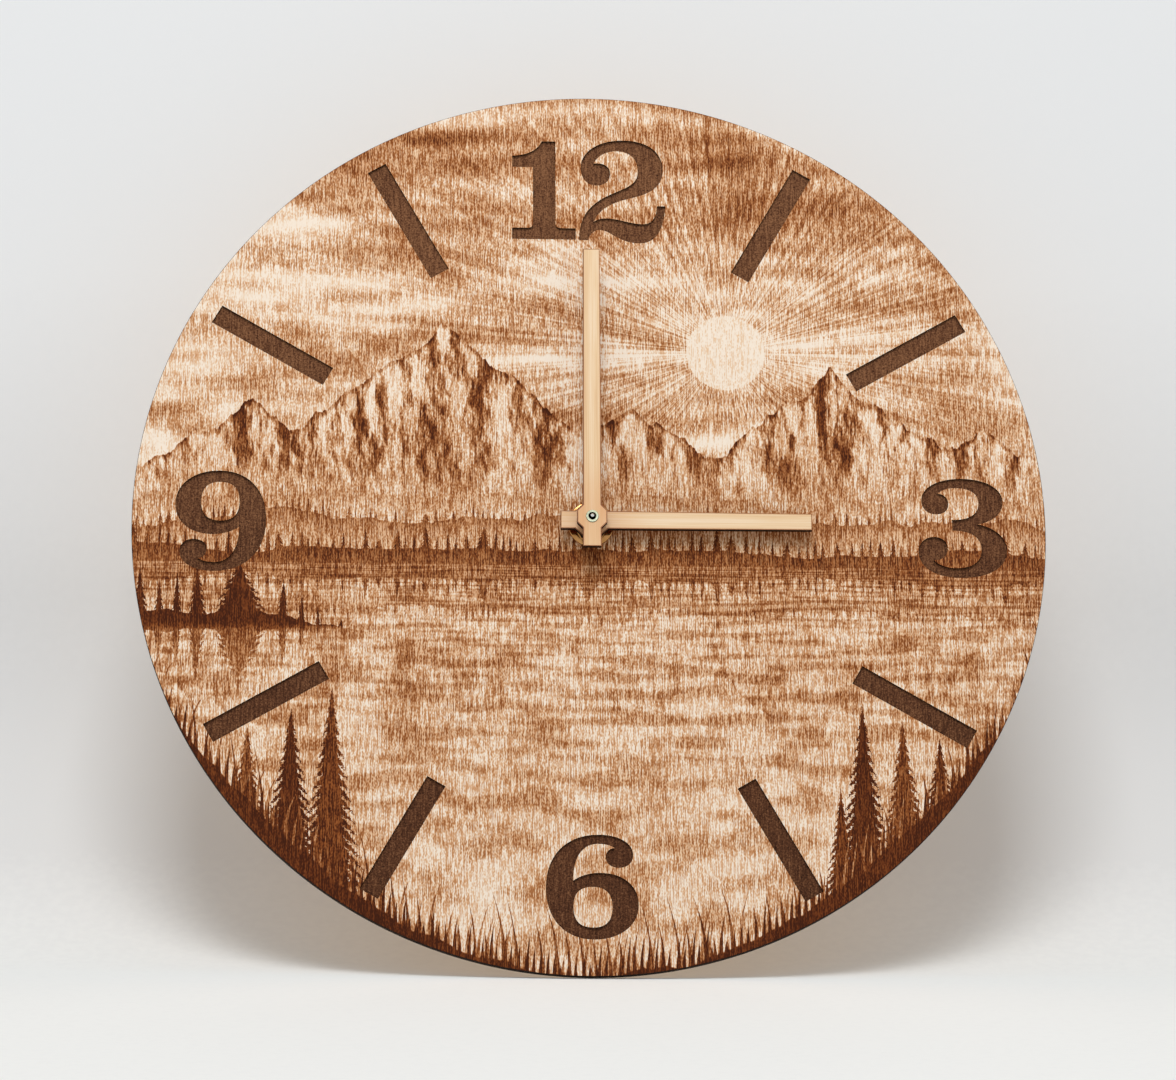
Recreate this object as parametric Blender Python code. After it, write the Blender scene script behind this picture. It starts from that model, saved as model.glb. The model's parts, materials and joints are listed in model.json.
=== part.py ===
"""Round wooden wall clock with a quartz movement.

Units are metres. The origin lies on the wall plane, on the axis of the hands: +Z is up, towards
twelve o'clock, +X is towards three o'clock, and the dial faces -Y. Depths run along Y from the
wall plane at zero to the tip of the seconds arbor in front of the dial.
"""

import math

import bmesh
import bpy
from mathutils import Matrix, Vector

# Plywood dial
DIAL_RADIUS = 0.150
DIAL_THICKNESS = 0.0030
DIAL_SEGMENTS = 144
BAR_INNER_RADIUS = 0.1001
BAR_OUTER_RADIUS = 0.1428
BAR_WIDTH = 0.0068
BAR_DEPTH = 0.0008
BAR_HOURS = (1, 2, 4, 5, 7, 8, 10, 11)

# Clearances
SEAT_GAP = 0.0002
RUN_GAP = 0.00015
SOCKET_GAP = 0.0001
CUT_MARGIN = 0.0010

# Plywood hands
HAND_THICKNESS = 0.0022
HAND_ROOT_WIDTH = 0.0060
HAND_TIP_WIDTH = 0.0055
HAND_TAIL = 0.0101
MINUTE_REACH = 0.0925
MINUTE_HUB = 0.0049
HOUR_REACH = 0.0722
HOUR_HUB = 0.0059
HOUR_HAND_STANDOFF = 0.0035
MINUTE_HAND_STANDOFF = 0.0076

# Fixings on the threaded bush
BUSH_RADIUS = 0.0039
BUSH_FLANGE_RADIUS = 0.0056
BUSH_FLANGE_THICKNESS = 0.0007
NUT_ACROSS_FLATS = 0.0110
NUT_THICKNESS = 0.0020
WASHER_RADIUS = 0.0076
WASHER_THICKNESS = 0.0005
RUBBER_RADIUS = 0.0095
RUBBER_THICKNESS = 0.0008

# Steel hanger
HANGER_THICKNESS = 0.0010
HANGER_WIDTH = 0.0180
HANGER_CORNER = 0.0055
HANGER_FOOT = 0.0100
HANGER_TAB_HEIGHT = 0.0165
HANGER_HOLE_RADIUS = 0.0042
HANGER_HOLE_HEIGHT = 0.0068
HANGER_SLOT_RADIUS = 0.0019
HANGER_SLOT_LENGTH = 0.0062

# Moulded movement case, with the train above the partition and the cell's bay below it
CASE_WALL = 0.0012
CASE_CORNER = 0.0025
COVER_THICKNESS = 0.0012
TRAIN_RISE = 0.0268
TRAIN_DROP = 0.0106
THUMB_NOTCH_WIDTH = 0.0180
THUMB_NOTCH_DEPTH = 0.0080
POST_RADIUS = 0.0014
POST_INSET = 0.0030
BOARD_POST_INSET = 0.0040

# Cell and contacts
CELL_RADIUS = 0.00715
CELL_LENGTH = 0.0500
CELL_NUB_RADIUS = 0.00275
CELL_NUB_LENGTH = 0.0010
CELL_EDGE = 0.0006
CELL_SIDE_ROOM = 0.00035
CELL_SINK = 0.0007
CONTACT_ROOM = 0.0018
CONTACT_THICKNESS = 0.0003
CONTACT_WIDTH = 0.0030
CONTACT_SLOT = 0.0011
CONTACT_BOW = 0.0036
CONTACT_BEND = 0.0012
CONTACT_TAIL = 0.0060

# Gears: teeth of each wheel and pinion, and the modules that the centre distances give
CANNON_TEETH = 12
MINUTE_WHEEL_TEETH = 36
SETTING_PINION_TEETH = 10
HOUR_WHEEL_TEETH = 40
CENTRE_TEETH = 60
THIRD_PINION_TEETH = 8
THIRD_TEETH = 64
SECONDS_PINION_TEETH = 8
SECONDS_TEETH = 50
INTERMEDIATE_PINION_TEETH = 10
INTERMEDIATE_TEETH = 48
ROTOR_PINION_TEETH = 8
SETTING_DISTANCE = 0.01008
THIRD_DISTANCE = 0.0083
INTERMEDIATE_DISTANCE = 0.0086
ROTOR_DISTANCE = 0.0070
SETTING_BEARING = 60.0
THIRD_BEARING = 165.0
INTERMEDIATE_BEARING = -20.0
ROTOR_BEARING = 25.0
PRESSURE_ANGLE = math.radians(20.0)
ADDENDUM = 0.90
DEDENDUM = 1.15
BACKLASH = 0.12
WHEEL_THICKNESS = 0.0008
PINION_LENGTH = 0.0011
HUB_RADIUS = 0.0009

# Arbors and tubes
SECONDS_ARBOR_RADIUS = 0.00058
SECONDS_PIVOT_RADIUS = 0.00048
SECONDS_ARBOR_REACH = 0.0010
SECONDS_TIP_CHAMFER = 0.0002
MINUTE_TUBE_RADIUS = 0.0020
MINUTE_TUBE_BORE = 0.0013
MINUTE_TUBE_REACH = 0.0003
HOUR_TUBE_REACH = 0.0003
HOUR_TUBE_WALL = 0.00045
CENTRE_SEAT_RADIUS = 0.0018
TRAIN_ARBOR_RADIUS = 0.0006
ARBOR_SEAT = 0.0017
STEM_RADIUS = 0.0016
STEM_TIP_RADIUS = 0.0009
STEM_TIP_LENGTH = 0.0013
KNOB_RADIUS = 0.0056
KNOB_THICKNESS = 0.0020
KNOB_FLUTES = 18
KNOB_FLUTE_RADIUS = 0.0005
KNOB_SLOT_LENGTH = 0.0078
KNOB_SLOT_WIDTH = 0.0012
KNOB_SLOT_DEPTH = 0.0006
WELL_GAP = 0.0006
WELL_DEPTH = 0.0026
BOSS_RADIUS = 0.0015
PLATE_THICKNESS = 0.0008
LAYER_GAP = 0.0005

# Motor and electronics
MAGNET_RADIUS = 0.0028
MAGNET_LENGTH = 0.0024
STATOR_THICKNESS = 0.0010
STATOR_AIR_GAP = 0.0005
STATOR_WHEEL_GAP = 0.0009
STATOR_WIDTH = 0.0084
STATOR_LUG_HEIGHT = 0.0041
STATOR_TOP_ROOM = 0.0028
STATOR_BOTTOM_ROOM = 0.0008
COIL_GAP = 0.0003
COIL_RADIUS = 0.0034
COIL_CORE_RADIUS = 0.0022
COIL_FLANGE = 0.0009
CORE_WIDTH = 0.0026
CORE_THICKNESS = 0.0010
BOARD_STANDOFF = 0.0024
BOARD_THICKNESS = 0.0010
BOARD_HEIGHT = 0.0134
BOARD_RIGHT = 0.0086
CHIP_RADIUS = 0.0032
CHIP_HEIGHT = 0.0010
CRYSTAL_RADIUS = 0.0010
CRYSTAL_LENGTH = 0.0062
CRYSTAL_OFFSET = 0.0096

ROUND_SMALL = 12
ROUND_MEDIUM = 24
ROUND_LARGE = 40

# Depths worked out from the stack on the threaded bush, along Y from the wall plane
CASE_INSIDE = -CELL_SINK - 2 * CELL_RADIUS - SEAT_GAP
CASE_FRONT = CASE_INSIDE - CASE_WALL
HANGER_BACK = CASE_FRONT - SEAT_GAP
RUBBER_BACK = HANGER_BACK - HANGER_THICKNESS - SEAT_GAP
DIAL_BACK = RUBBER_BACK - RUBBER_THICKNESS - SEAT_GAP
DIAL_FACE = DIAL_BACK - DIAL_THICKNESS
WASHER_BACK = DIAL_FACE - SEAT_GAP
NUT_BACK = WASHER_BACK - WASHER_THICKNESS - SEAT_GAP
BUSH_TIP = NUT_BACK - NUT_THICKNESS - SEAT_GAP
HOUR_HAND_BACK = DIAL_FACE - HOUR_HAND_STANDOFF
MINUTE_HAND_BACK = DIAL_FACE - MINUTE_HAND_STANDOFF
HOUR_TUBE_TIP = HOUR_HAND_BACK - HAND_THICKNESS - HOUR_TUBE_REACH
MINUTE_TUBE_TIP = MINUTE_HAND_BACK - HAND_THICKNESS - MINUTE_TUBE_REACH
SECONDS_TIP = MINUTE_TUBE_TIP - SECONDS_ARBOR_REACH
HOUR_TUBE_BORE = MINUTE_TUBE_RADIUS + RUN_GAP
HOUR_TUBE_RADIUS = HOUR_TUBE_BORE + HOUR_TUBE_WALL
BUSH_BORE = HOUR_TUBE_RADIUS + RUN_GAP
BUSH_HOLE = BUSH_RADIUS + RUN_GAP

# Front faces of the layers inside the case, each behind the one before
FLANGE_FRONT = CASE_INSIDE + SEAT_GAP
HOUR_WHEEL_FRONT = FLANGE_FRONT + BUSH_FLANGE_THICKNESS + SEAT_GAP
MINUTE_WHEEL_FRONT = HOUR_WHEEL_FRONT + WHEEL_THICKNESS + LAYER_GAP
PLATE_FRONT = MINUTE_WHEEL_FRONT + PINION_LENGTH + LAYER_GAP
PLATE_BACK = PLATE_FRONT + PLATE_THICKNESS
CENTRE_FRONT = PLATE_BACK + LAYER_GAP
THIRD_FRONT = CENTRE_FRONT + WHEEL_THICKNESS + LAYER_GAP
SECONDS_FRONT = THIRD_FRONT + WHEEL_THICKNESS + LAYER_GAP
INTERMEDIATE_FRONT = SECONDS_FRONT + WHEEL_THICKNESS + LAYER_GAP
BOSS_FRONT = INTERMEDIATE_FRONT + WHEEL_THICKNESS + 2 * SEAT_GAP
ARBOR_FRONT = PLATE_FRONT + SEAT_GAP
ARBOR_REAR = BOSS_FRONT + ARBOR_SEAT
SECONDS_PINION_FRONT = SECONDS_FRONT - PINION_LENGTH - 2 * SEAT_GAP
STATOR_BACK = INTERMEDIATE_FRONT - STATOR_WHEEL_GAP
STATOR_FRONT = STATOR_BACK - STATOR_THICKNESS
BOARD_FRONT = PLATE_BACK + BOARD_STANDOFF
BOARD_BACK = BOARD_FRONT + BOARD_THICKNESS

# Modules that follow from the centre distances
CANNON_MODULE = 2 * SETTING_DISTANCE / (CANNON_TEETH + MINUTE_WHEEL_TEETH)
SETTING_MODULE = 2 * SETTING_DISTANCE / (SETTING_PINION_TEETH + HOUR_WHEEL_TEETH)
CENTRE_MODULE = 2 * THIRD_DISTANCE / (CENTRE_TEETH + THIRD_PINION_TEETH)
THIRD_MODULE = 2 * THIRD_DISTANCE / (THIRD_TEETH + SECONDS_PINION_TEETH)
SECONDS_MODULE = 2 * INTERMEDIATE_DISTANCE / (SECONDS_TEETH + INTERMEDIATE_PINION_TEETH)
ROTOR_MODULE = 2 * ROTOR_DISTANCE / (INTERMEDIATE_TEETH + ROTOR_PINION_TEETH)


def polar(radius, degrees):
    """Point (x, z) at a distance from the hands' axis, anticlockwise from three o'clock."""
    angle = math.radians(degrees)
    return Vector((radius * math.cos(angle), radius * math.sin(angle)))


CENTRE_AXIS = Vector((0.0, 0.0))
SETTING_AXIS = polar(SETTING_DISTANCE, SETTING_BEARING)
THIRD_AXIS = polar(THIRD_DISTANCE, THIRD_BEARING)
INTERMEDIATE_AXIS = polar(INTERMEDIATE_DISTANCE, INTERMEDIATE_BEARING)
ROTOR_AXIS = INTERMEDIATE_AXIS + polar(ROTOR_DISTANCE, ROTOR_BEARING)

# Places inside the case: the motor stands round the rotor, and the longer of the cell and the
# motor sets the width
STATOR_LEFT = ROTOR_AXIS.x - STATOR_WIDTH / 2
STATOR_RIGHT = ROTOR_AXIS.x + STATOR_WIDTH / 2
STATOR_TOP = TRAIN_RISE - STATOR_TOP_ROOM
STATOR_BOTTOM = -TRAIN_DROP + STATOR_BOTTOM_ROOM
COIL_X = STATOR_RIGHT + COIL_GAP + COIL_RADIUS
INSIDE_X = max(CELL_LENGTH / 2 + CONTACT_ROOM,
               COIL_X + COIL_RADIUS + COIL_GAP + CONTACT_THICKNESS + SEAT_GAP)
BAY_TOP = -TRAIN_DROP - CASE_WALL
BAY_FLOOR = BAY_TOP - 2 * (CELL_RADIUS + CELL_SIDE_ROOM)
CASE_TOP = TRAIN_RISE + CASE_WALL
CASE_BOTTOM = BAY_FLOOR - CASE_WALL
CELL_Z = (BAY_TOP + BAY_FLOOR) / 2
CELL_Y = CASE_INSIDE + CELL_RADIUS + SEAT_GAP
CELL_LEFT = (CELL_NUB_LENGTH - CELL_LENGTH) / 2
CELL_RIGHT = CELL_LEFT + CELL_LENGTH
CONTACT_X = INSIDE_X - SEAT_GAP
CONTACT_FRONT = (BOARD_FRONT + BOARD_BACK - CONTACT_WIDTH) / 2
BOARD_TOP = TRAIN_RISE - CONTACT_THICKNESS - 2 * SEAT_GAP
BOARD_LEFT = -CONTACT_X + CONTACT_THICKNESS + SEAT_GAP
BOARD_POSTS = [Vector((x, BOARD_TOP - BOARD_POST_INSET + POST_RADIUS / 2))
               for x in (BOARD_LEFT + BOARD_POST_INSET, BOARD_RIGHT - POST_INSET)]
STATOR_POST = Vector((ROTOR_AXIS.x, STATOR_TOP - STATOR_LUG_HEIGHT / 2))


def material(name, colour, roughness, metallic=0.0):
    """Principled material from an sRGB colour given as three values from 0 to 255."""
    found = bpy.data.materials.get(name)
    if found:
        return found
    made = bpy.data.materials.new(name)
    made.use_nodes = True
    shader = made.node_tree.nodes["Principled BSDF"]
    linear = [(channel / 255.0) ** 2.2 for channel in colour]
    shader.inputs["Base Color"].default_value = (*linear, 1.0)
    shader.inputs["Roughness"].default_value = roughness
    shader.inputs["Metallic"].default_value = metallic
    made.diffuse_color = (*linear, 1.0)
    return made


FINISHES = {
    "plywood": ((222, 176, 136), 0.65, 0.0),
    "hand_plywood": ((236, 203, 160), 0.55, 0.0),
    "nickel": ((214, 211, 202), 0.18, 1.0),
    "brass": ((206, 166, 96), 0.30, 1.0),
    "steel": ((190, 190, 188), 0.35, 1.0),
    "rubber": ((38, 38, 40), 0.85, 0.0),
    "black_moulding": ((34, 34, 36), 0.45, 0.0),
    "white_moulding": ((226, 224, 216), 0.40, 0.0),
    "amber_moulding": ((214, 186, 130), 0.40, 0.0),
    "magnet": ((70, 70, 74), 0.45, 0.6),
    "lamination": ((150, 150, 152), 0.40, 1.0),
    "copper_wire": ((184, 104, 62), 0.35, 1.0),
    "circuit_laminate": ((40, 92, 58), 0.50, 0.0),
    "epoxy": ((22, 22, 24), 0.35, 0.0),
    "cell_sleeve": ((58, 74, 92), 0.35, 0.1),
}


def add_object(name, mesh_data, finish, axis=CENTRE_AXIS, parent=None):
    """Turn a bmesh into a named object placed on the axis it was modelled round."""
    bmesh.ops.recalc_face_normals(mesh_data, faces=mesh_data.faces)
    mesh = bpy.data.meshes.new(name)
    mesh_data.to_mesh(mesh)
    mesh_data.free()
    made = bpy.data.objects.new(name, mesh)
    bpy.context.scene.collection.objects.link(made)
    if finish:
        made.data.materials.append(material(finish, *FINISHES[finish]))
    mesh.shade_smooth()
    mesh.set_sharp_from_angle(angle=math.radians(30.0))
    if parent:
        made.parent = parent
    else:
        made.location = (axis.x, 0.0, axis.y)
    return made


def add_axis(name, axis):
    """Empty on a joint's axis, which carries the pieces that turn together."""
    made = bpy.data.objects.new(name, None)
    made.empty_display_size = 0.004
    made.location = (axis.x, 0.0, axis.y)
    bpy.context.scene.collection.objects.link(made)
    return made


def combine(target, tool, operation):
    """Boolean a hidden tool object into a target, which keeps the modifier."""
    tool.hide_render = True
    tool.display_type = "WIRE"
    modifier = target.modifiers.new(tool.name, "BOOLEAN")
    modifier.operation = operation
    modifier.solver = "EXACT"
    modifier.object = tool


def cut(target, mesh_data, label, axis=CENTRE_AXIS, parent=None):
    """Cut a shape out of a target."""
    tool = add_object(f"{target.name}_{label}", mesh_data, None, axis, parent)
    combine(target, tool, "DIFFERENCE")


def fuse(target, mesh_data, label, axis=CENTRE_AXIS, parent=None):
    """Fuse a shape into a target, as one moulding."""
    tool = add_object(f"{target.name}_{label}", mesh_data, None, axis, parent)
    combine(target, tool, "UNION")


def prism(outline, front, back):
    """Closed solid from an outline of (x, z) points, extruded along Y."""
    mesh_data = bmesh.new()
    corners = [mesh_data.verts.new((x, front, z)) for x, z in outline]
    face = mesh_data.faces.new(corners)
    grown = bmesh.ops.extrude_face_region(mesh_data, geom=[face])
    moved = [item for item in grown["geom"] if isinstance(item, bmesh.types.BMVert)]
    bmesh.ops.translate(mesh_data, verts=moved, vec=(0.0, back - front, 0.0))
    return mesh_data


def turned(profile, segments):
    """Closed solid of revolution round Y from a profile of (radius, y) points.

    A profile whose ends lie on the axis closes there. One that stays off the axis is a ring.
    """
    mesh_data = bmesh.new()
    corners = [mesh_data.verts.new((radius, y, 0.0)) for radius, y in profile]
    edges = [mesh_data.edges.new(pair) for pair in zip(corners, corners[1:])]
    if min(profile[0][0], profile[-1][0]) > 0.0:
        edges.append(mesh_data.edges.new((corners[-1], corners[0])))
    bmesh.ops.spin(
        mesh_data,
        geom=corners + edges,
        axis=(0.0, 1.0, 0.0),
        cent=(0.0, 0.0, 0.0),
        angle=2.0 * math.pi,
        steps=segments,
        use_merge=True,
    )
    bmesh.ops.remove_doubles(mesh_data, verts=mesh_data.verts, dist=1e-6)
    poles = [v for v in mesh_data.verts if math.hypot(v.co.x, v.co.z) < 1e-6]
    bmesh.ops.dissolve_verts(mesh_data, verts=poles)
    return mesh_data


def cylinder(radius, front, back, segments=ROUND_MEDIUM):
    """Solid cylinder along Y."""
    return prism([polar(radius, 360.0 * step / segments) for step in range(segments)], front, back)


def ring(outer, inner, front, back, segments=ROUND_MEDIUM):
    """Washer or tube along Y."""
    return turned([(inner, front), (outer, front), (outer, back), (inner, back)], segments)


def box(low, high):
    """Closed box between two corners."""
    (x0, y0, z0), (x1, y1, z1) = low, high
    return prism([(x0, z0), (x1, z0), (x1, z1), (x0, z1)], y0, y1)


def merged(*shapes):
    """One bmesh that holds several shapes, such as the cutters of one pattern."""
    whole = bmesh.new()
    for shape in shapes:
        scratch = bpy.data.meshes.new("scratch")
        bmesh.ops.recalc_face_normals(shape, faces=shape.faces)
        shape.to_mesh(scratch)
        shape.free()
        whole.from_mesh(scratch)
        bpy.data.meshes.remove(scratch)
    return whole


def moved(mesh_data, offset):
    """Shift a shape by (x, y, z)."""
    bmesh.ops.translate(mesh_data, verts=mesh_data.verts, vec=offset)
    return mesh_data


def rotated(mesh_data, degrees, axis):
    """Turn a shape about a world axis through the origin."""
    matrix = Matrix.Rotation(math.radians(degrees), 3, axis)
    bmesh.ops.rotate(mesh_data, verts=mesh_data.verts, cent=(0.0, 0.0, 0.0), matrix=matrix)
    return mesh_data


def bevel_along_y(mesh_data, width, segments, keep):
    """Round the edges that run along Y and whose middle passes the keep test."""
    edges = []
    for edge in mesh_data.edges:
        run = edge.verts[1].co - edge.verts[0].co
        middle = (edge.verts[0].co + edge.verts[1].co) / 2
        if abs(run.y) > 0.9 * run.length and keep(middle):
            edges.append(edge)
    bmesh.ops.bevel(
        mesh_data, geom=edges, offset=width, segments=segments,
        profile=0.5, affect="EDGES", material=-1,
    )
    return mesh_data


def tooth_half_angle(radius, teeth, module):
    """Half the angle that an involute tooth fills at a radius, thinned for backlash."""
    pitch = teeth * module / 2
    base = pitch * math.cos(PRESSURE_ANGLE)
    at_pitch = math.pi / (2 * teeth) - BACKLASH * module / (2 * pitch)
    widest = at_pitch + math.tan(PRESSURE_ANGLE) - PRESSURE_ANGLE
    if radius <= base:
        return widest
    pressure = math.acos(base / radius)
    return widest - (math.tan(pressure) - pressure)


def gear_outline(teeth, module, phase):
    """Outline of a gear, with one tooth centred on the phase angle.

    A pinion's flanks get a point on the pitch circle, and a wheel's flanks are straight.
    """
    pitch = teeth * module / 2
    radii = [pitch - DEDENDUM * module, pitch + ADDENDUM * module]
    if teeth <= CANNON_TEETH:
        radii.insert(1, pitch)
    outline = []
    for tooth in range(teeth):
        centre = phase + 2 * math.pi * tooth / teeth
        rising = [(r, centre - tooth_half_angle(r, teeth, module)) for r in radii]
        falling = [(r, centre + tooth_half_angle(r, teeth, module)) for r in reversed(radii)]
        outline += [(r * math.cos(a), r * math.sin(a)) for r, a in rising + falling]
    return outline


def meshing_phase(driver_teeth, driver_phase, driven_teeth, bearing):
    """Phase that puts a driven gear's gap on a driver's tooth, along the line of centres."""
    share = driver_teeth * (bearing - driver_phase) / (2 * math.pi)
    return bearing + math.pi - (2 * math.pi / driven_teeth) * (0.5 - share)


def gear(teeth, module, phase, front, thickness):
    """Toothed disc whose front face is at a layer's depth."""
    return prism(gear_outline(teeth, module, phase), front, front + thickness)


# Phases of the wheels, each worked out from the one it meshes with
CANNON_PHASE = 0.0
MINUTE_WHEEL_PHASE = meshing_phase(
    CANNON_TEETH, CANNON_PHASE, MINUTE_WHEEL_TEETH, math.radians(SETTING_BEARING)
)
HOUR_WHEEL_PHASE = 0.0
SETTING_PINION_PHASE = meshing_phase(
    HOUR_WHEEL_TEETH, HOUR_WHEEL_PHASE, SETTING_PINION_TEETH, math.radians(SETTING_BEARING)
)
CENTRE_PHASE = 0.0
THIRD_PINION_PHASE = meshing_phase(
    CENTRE_TEETH, CENTRE_PHASE, THIRD_PINION_TEETH, math.radians(THIRD_BEARING)
)
SECONDS_PINION_PHASE = 0.0
THIRD_PHASE = meshing_phase(
    SECONDS_PINION_TEETH, SECONDS_PINION_PHASE, THIRD_TEETH, math.radians(THIRD_BEARING)
)
SECONDS_PHASE = 0.0
INTERMEDIATE_PINION_PHASE = meshing_phase(
    SECONDS_TEETH, SECONDS_PHASE, INTERMEDIATE_PINION_TEETH, math.radians(INTERMEDIATE_BEARING)
)
INTERMEDIATE_PHASE = 0.0
ROTOR_PINION_PHASE = meshing_phase(
    INTERMEDIATE_TEETH, INTERMEDIATE_PHASE, ROTOR_PINION_TEETH, math.radians(ROTOR_BEARING)
)


def build_dial():
    """Plywood disc with the hole for the bush and a shallow pocket for each plain hour."""
    disc = add_object(
        "dial", cylinder(DIAL_RADIUS, DIAL_FACE, DIAL_BACK, DIAL_SEGMENTS), "plywood"
    )
    pockets = []
    for hour in BAR_HOURS:
        pocket = box(
            (-BAR_WIDTH / 2, DIAL_FACE - CUT_MARGIN, BAR_INNER_RADIUS),
            (BAR_WIDTH / 2, DIAL_FACE + BAR_DEPTH, BAR_OUTER_RADIUS),
        )
        pockets.append(rotated(pocket, 30.0 * hour, "Y"))
    hole = cylinder(BUSH_HOLE, DIAL_FACE - CUT_MARGIN, DIAL_BACK + CUT_MARGIN)
    cut(disc, merged(hole, *pockets), "cuts")


def hand_outline(reach, hub):
    """Outline of a hand that points up: a tapered bar and a short tail on an octagonal hub."""
    root = HAND_ROOT_WIDTH / 2
    tip = HAND_TIP_WIDTH / 2
    shoulder = hub * math.sqrt(2.0) - root
    corner = hub * math.tan(math.radians(22.5))
    right = [(root, -HAND_TAIL), (root, -shoulder), (hub, -corner), (hub, corner),
             (root, shoulder), (tip, reach)]
    return right + [(-x, z) for x, z in reversed(right)]


def build_hand(name, reach, hub, back, bore, degrees, parent):
    """Laser-cut plywood hand on its tube."""
    plate = prism(hand_outline(reach, hub), back - HAND_THICKNESS, back)
    hand = add_object(name, rotated(plate, degrees, "Y"), "hand_plywood", parent=parent)
    cut(hand, cylinder(bore, back - 2 * HAND_THICKNESS, back + HAND_THICKNESS), "bore",
        parent=parent)


def build_fixings():
    """Rubber washer behind the dial, and the metal washer and hexagon nut in front."""
    add_object("rubber_washer",
               ring(RUBBER_RADIUS, BUSH_HOLE, RUBBER_BACK - RUBBER_THICKNESS, RUBBER_BACK),
               "rubber")
    add_object("fixing_washer",
               ring(WASHER_RADIUS, BUSH_HOLE, WASHER_BACK - WASHER_THICKNESS, WASHER_BACK,
                    ROUND_LARGE), "nickel")
    corner = NUT_ACROSS_FLATS / 2 / math.cos(math.radians(30.0))
    hexagon = [tuple(polar(corner, 60.0 * side)) for side in range(6)]
    nut = add_object("fixing_nut", prism(hexagon, NUT_BACK - NUT_THICKNESS, NUT_BACK), "nickel")
    cut(nut, cylinder(BUSH_HOLE, NUT_BACK - 2 * NUT_THICKNESS, NUT_BACK + NUT_THICKNESS), "bore")


def build_hanger():
    """Bent steel strap between the movement and the dial, with a keyhole above the case."""
    front = HANGER_BACK - HANGER_THICKNESS
    shelf = CASE_TOP + SEAT_GAP
    tab_back = -SEAT_GAP
    top = shelf + HANGER_TAB_HEIGHT
    side = [
        (front, -HANGER_FOOT), (HANGER_BACK, -HANGER_FOOT), (HANGER_BACK, shelf),
        (tab_back, shelf), (tab_back, top), (tab_back - HANGER_THICKNESS, top),
        (tab_back - HANGER_THICKNESS, shelf + HANGER_THICKNESS), (front, shelf + HANGER_THICKNESS),
    ]
    strap = bmesh.new()
    corners = [strap.verts.new((-HANGER_WIDTH / 2, y, z)) for y, z in side]
    face = strap.faces.new(corners)
    grown = bmesh.ops.extrude_face_region(strap, geom=[face])
    far = [item for item in grown["geom"] if isinstance(item, bmesh.types.BMVert)]
    bmesh.ops.translate(strap, verts=far, vec=(HANGER_WIDTH, 0.0, 0.0))
    bevel_along_y(strap, HANGER_CORNER, 5,
                  lambda point: not 0.0 < point.z < top - HANGER_THICKNESS)
    hanger = add_object("hanger", strap, "steel")
    hole_z = shelf + HANGER_HOLE_HEIGHT
    slot_z = hole_z + HANGER_SLOT_LENGTH
    through = (tab_back - HANGER_THICKNESS - CUT_MARGIN, tab_back + CUT_MARGIN)
    bush_hole = cylinder(BUSH_HOLE, front - CUT_MARGIN, HANGER_BACK + CUT_MARGIN)
    cut(hanger, bush_hole, "bush_hole")
    cut(hanger, moved(cylinder(HANGER_HOLE_RADIUS, *through), (0.0, 0.0, hole_z)), "nail_hole")
    slot = [(HANGER_SLOT_RADIUS, hole_z)]
    slot += [tuple(polar(HANGER_SLOT_RADIUS, 22.5 * step) + Vector((0.0, slot_z)))
             for step in range(9)]
    slot += [(-HANGER_SLOT_RADIUS, hole_z)]
    cut(hanger, prism(slot, *through), "nail_slot")


def build_bush():
    """Threaded bush that holds the movement to the dial, flanged inside the case."""
    flange_back = FLANGE_FRONT + BUSH_FLANGE_THICKNESS
    add_object("threaded_bush", turned([
        (BUSH_BORE, BUSH_TIP), (BUSH_RADIUS, BUSH_TIP), (BUSH_RADIUS, FLANGE_FRONT),
        (BUSH_FLANGE_RADIUS, FLANGE_FRONT), (BUSH_FLANGE_RADIUS, flange_back),
        (BUSH_BORE, flange_back),
    ], ROUND_MEDIUM), "nickel")


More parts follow.
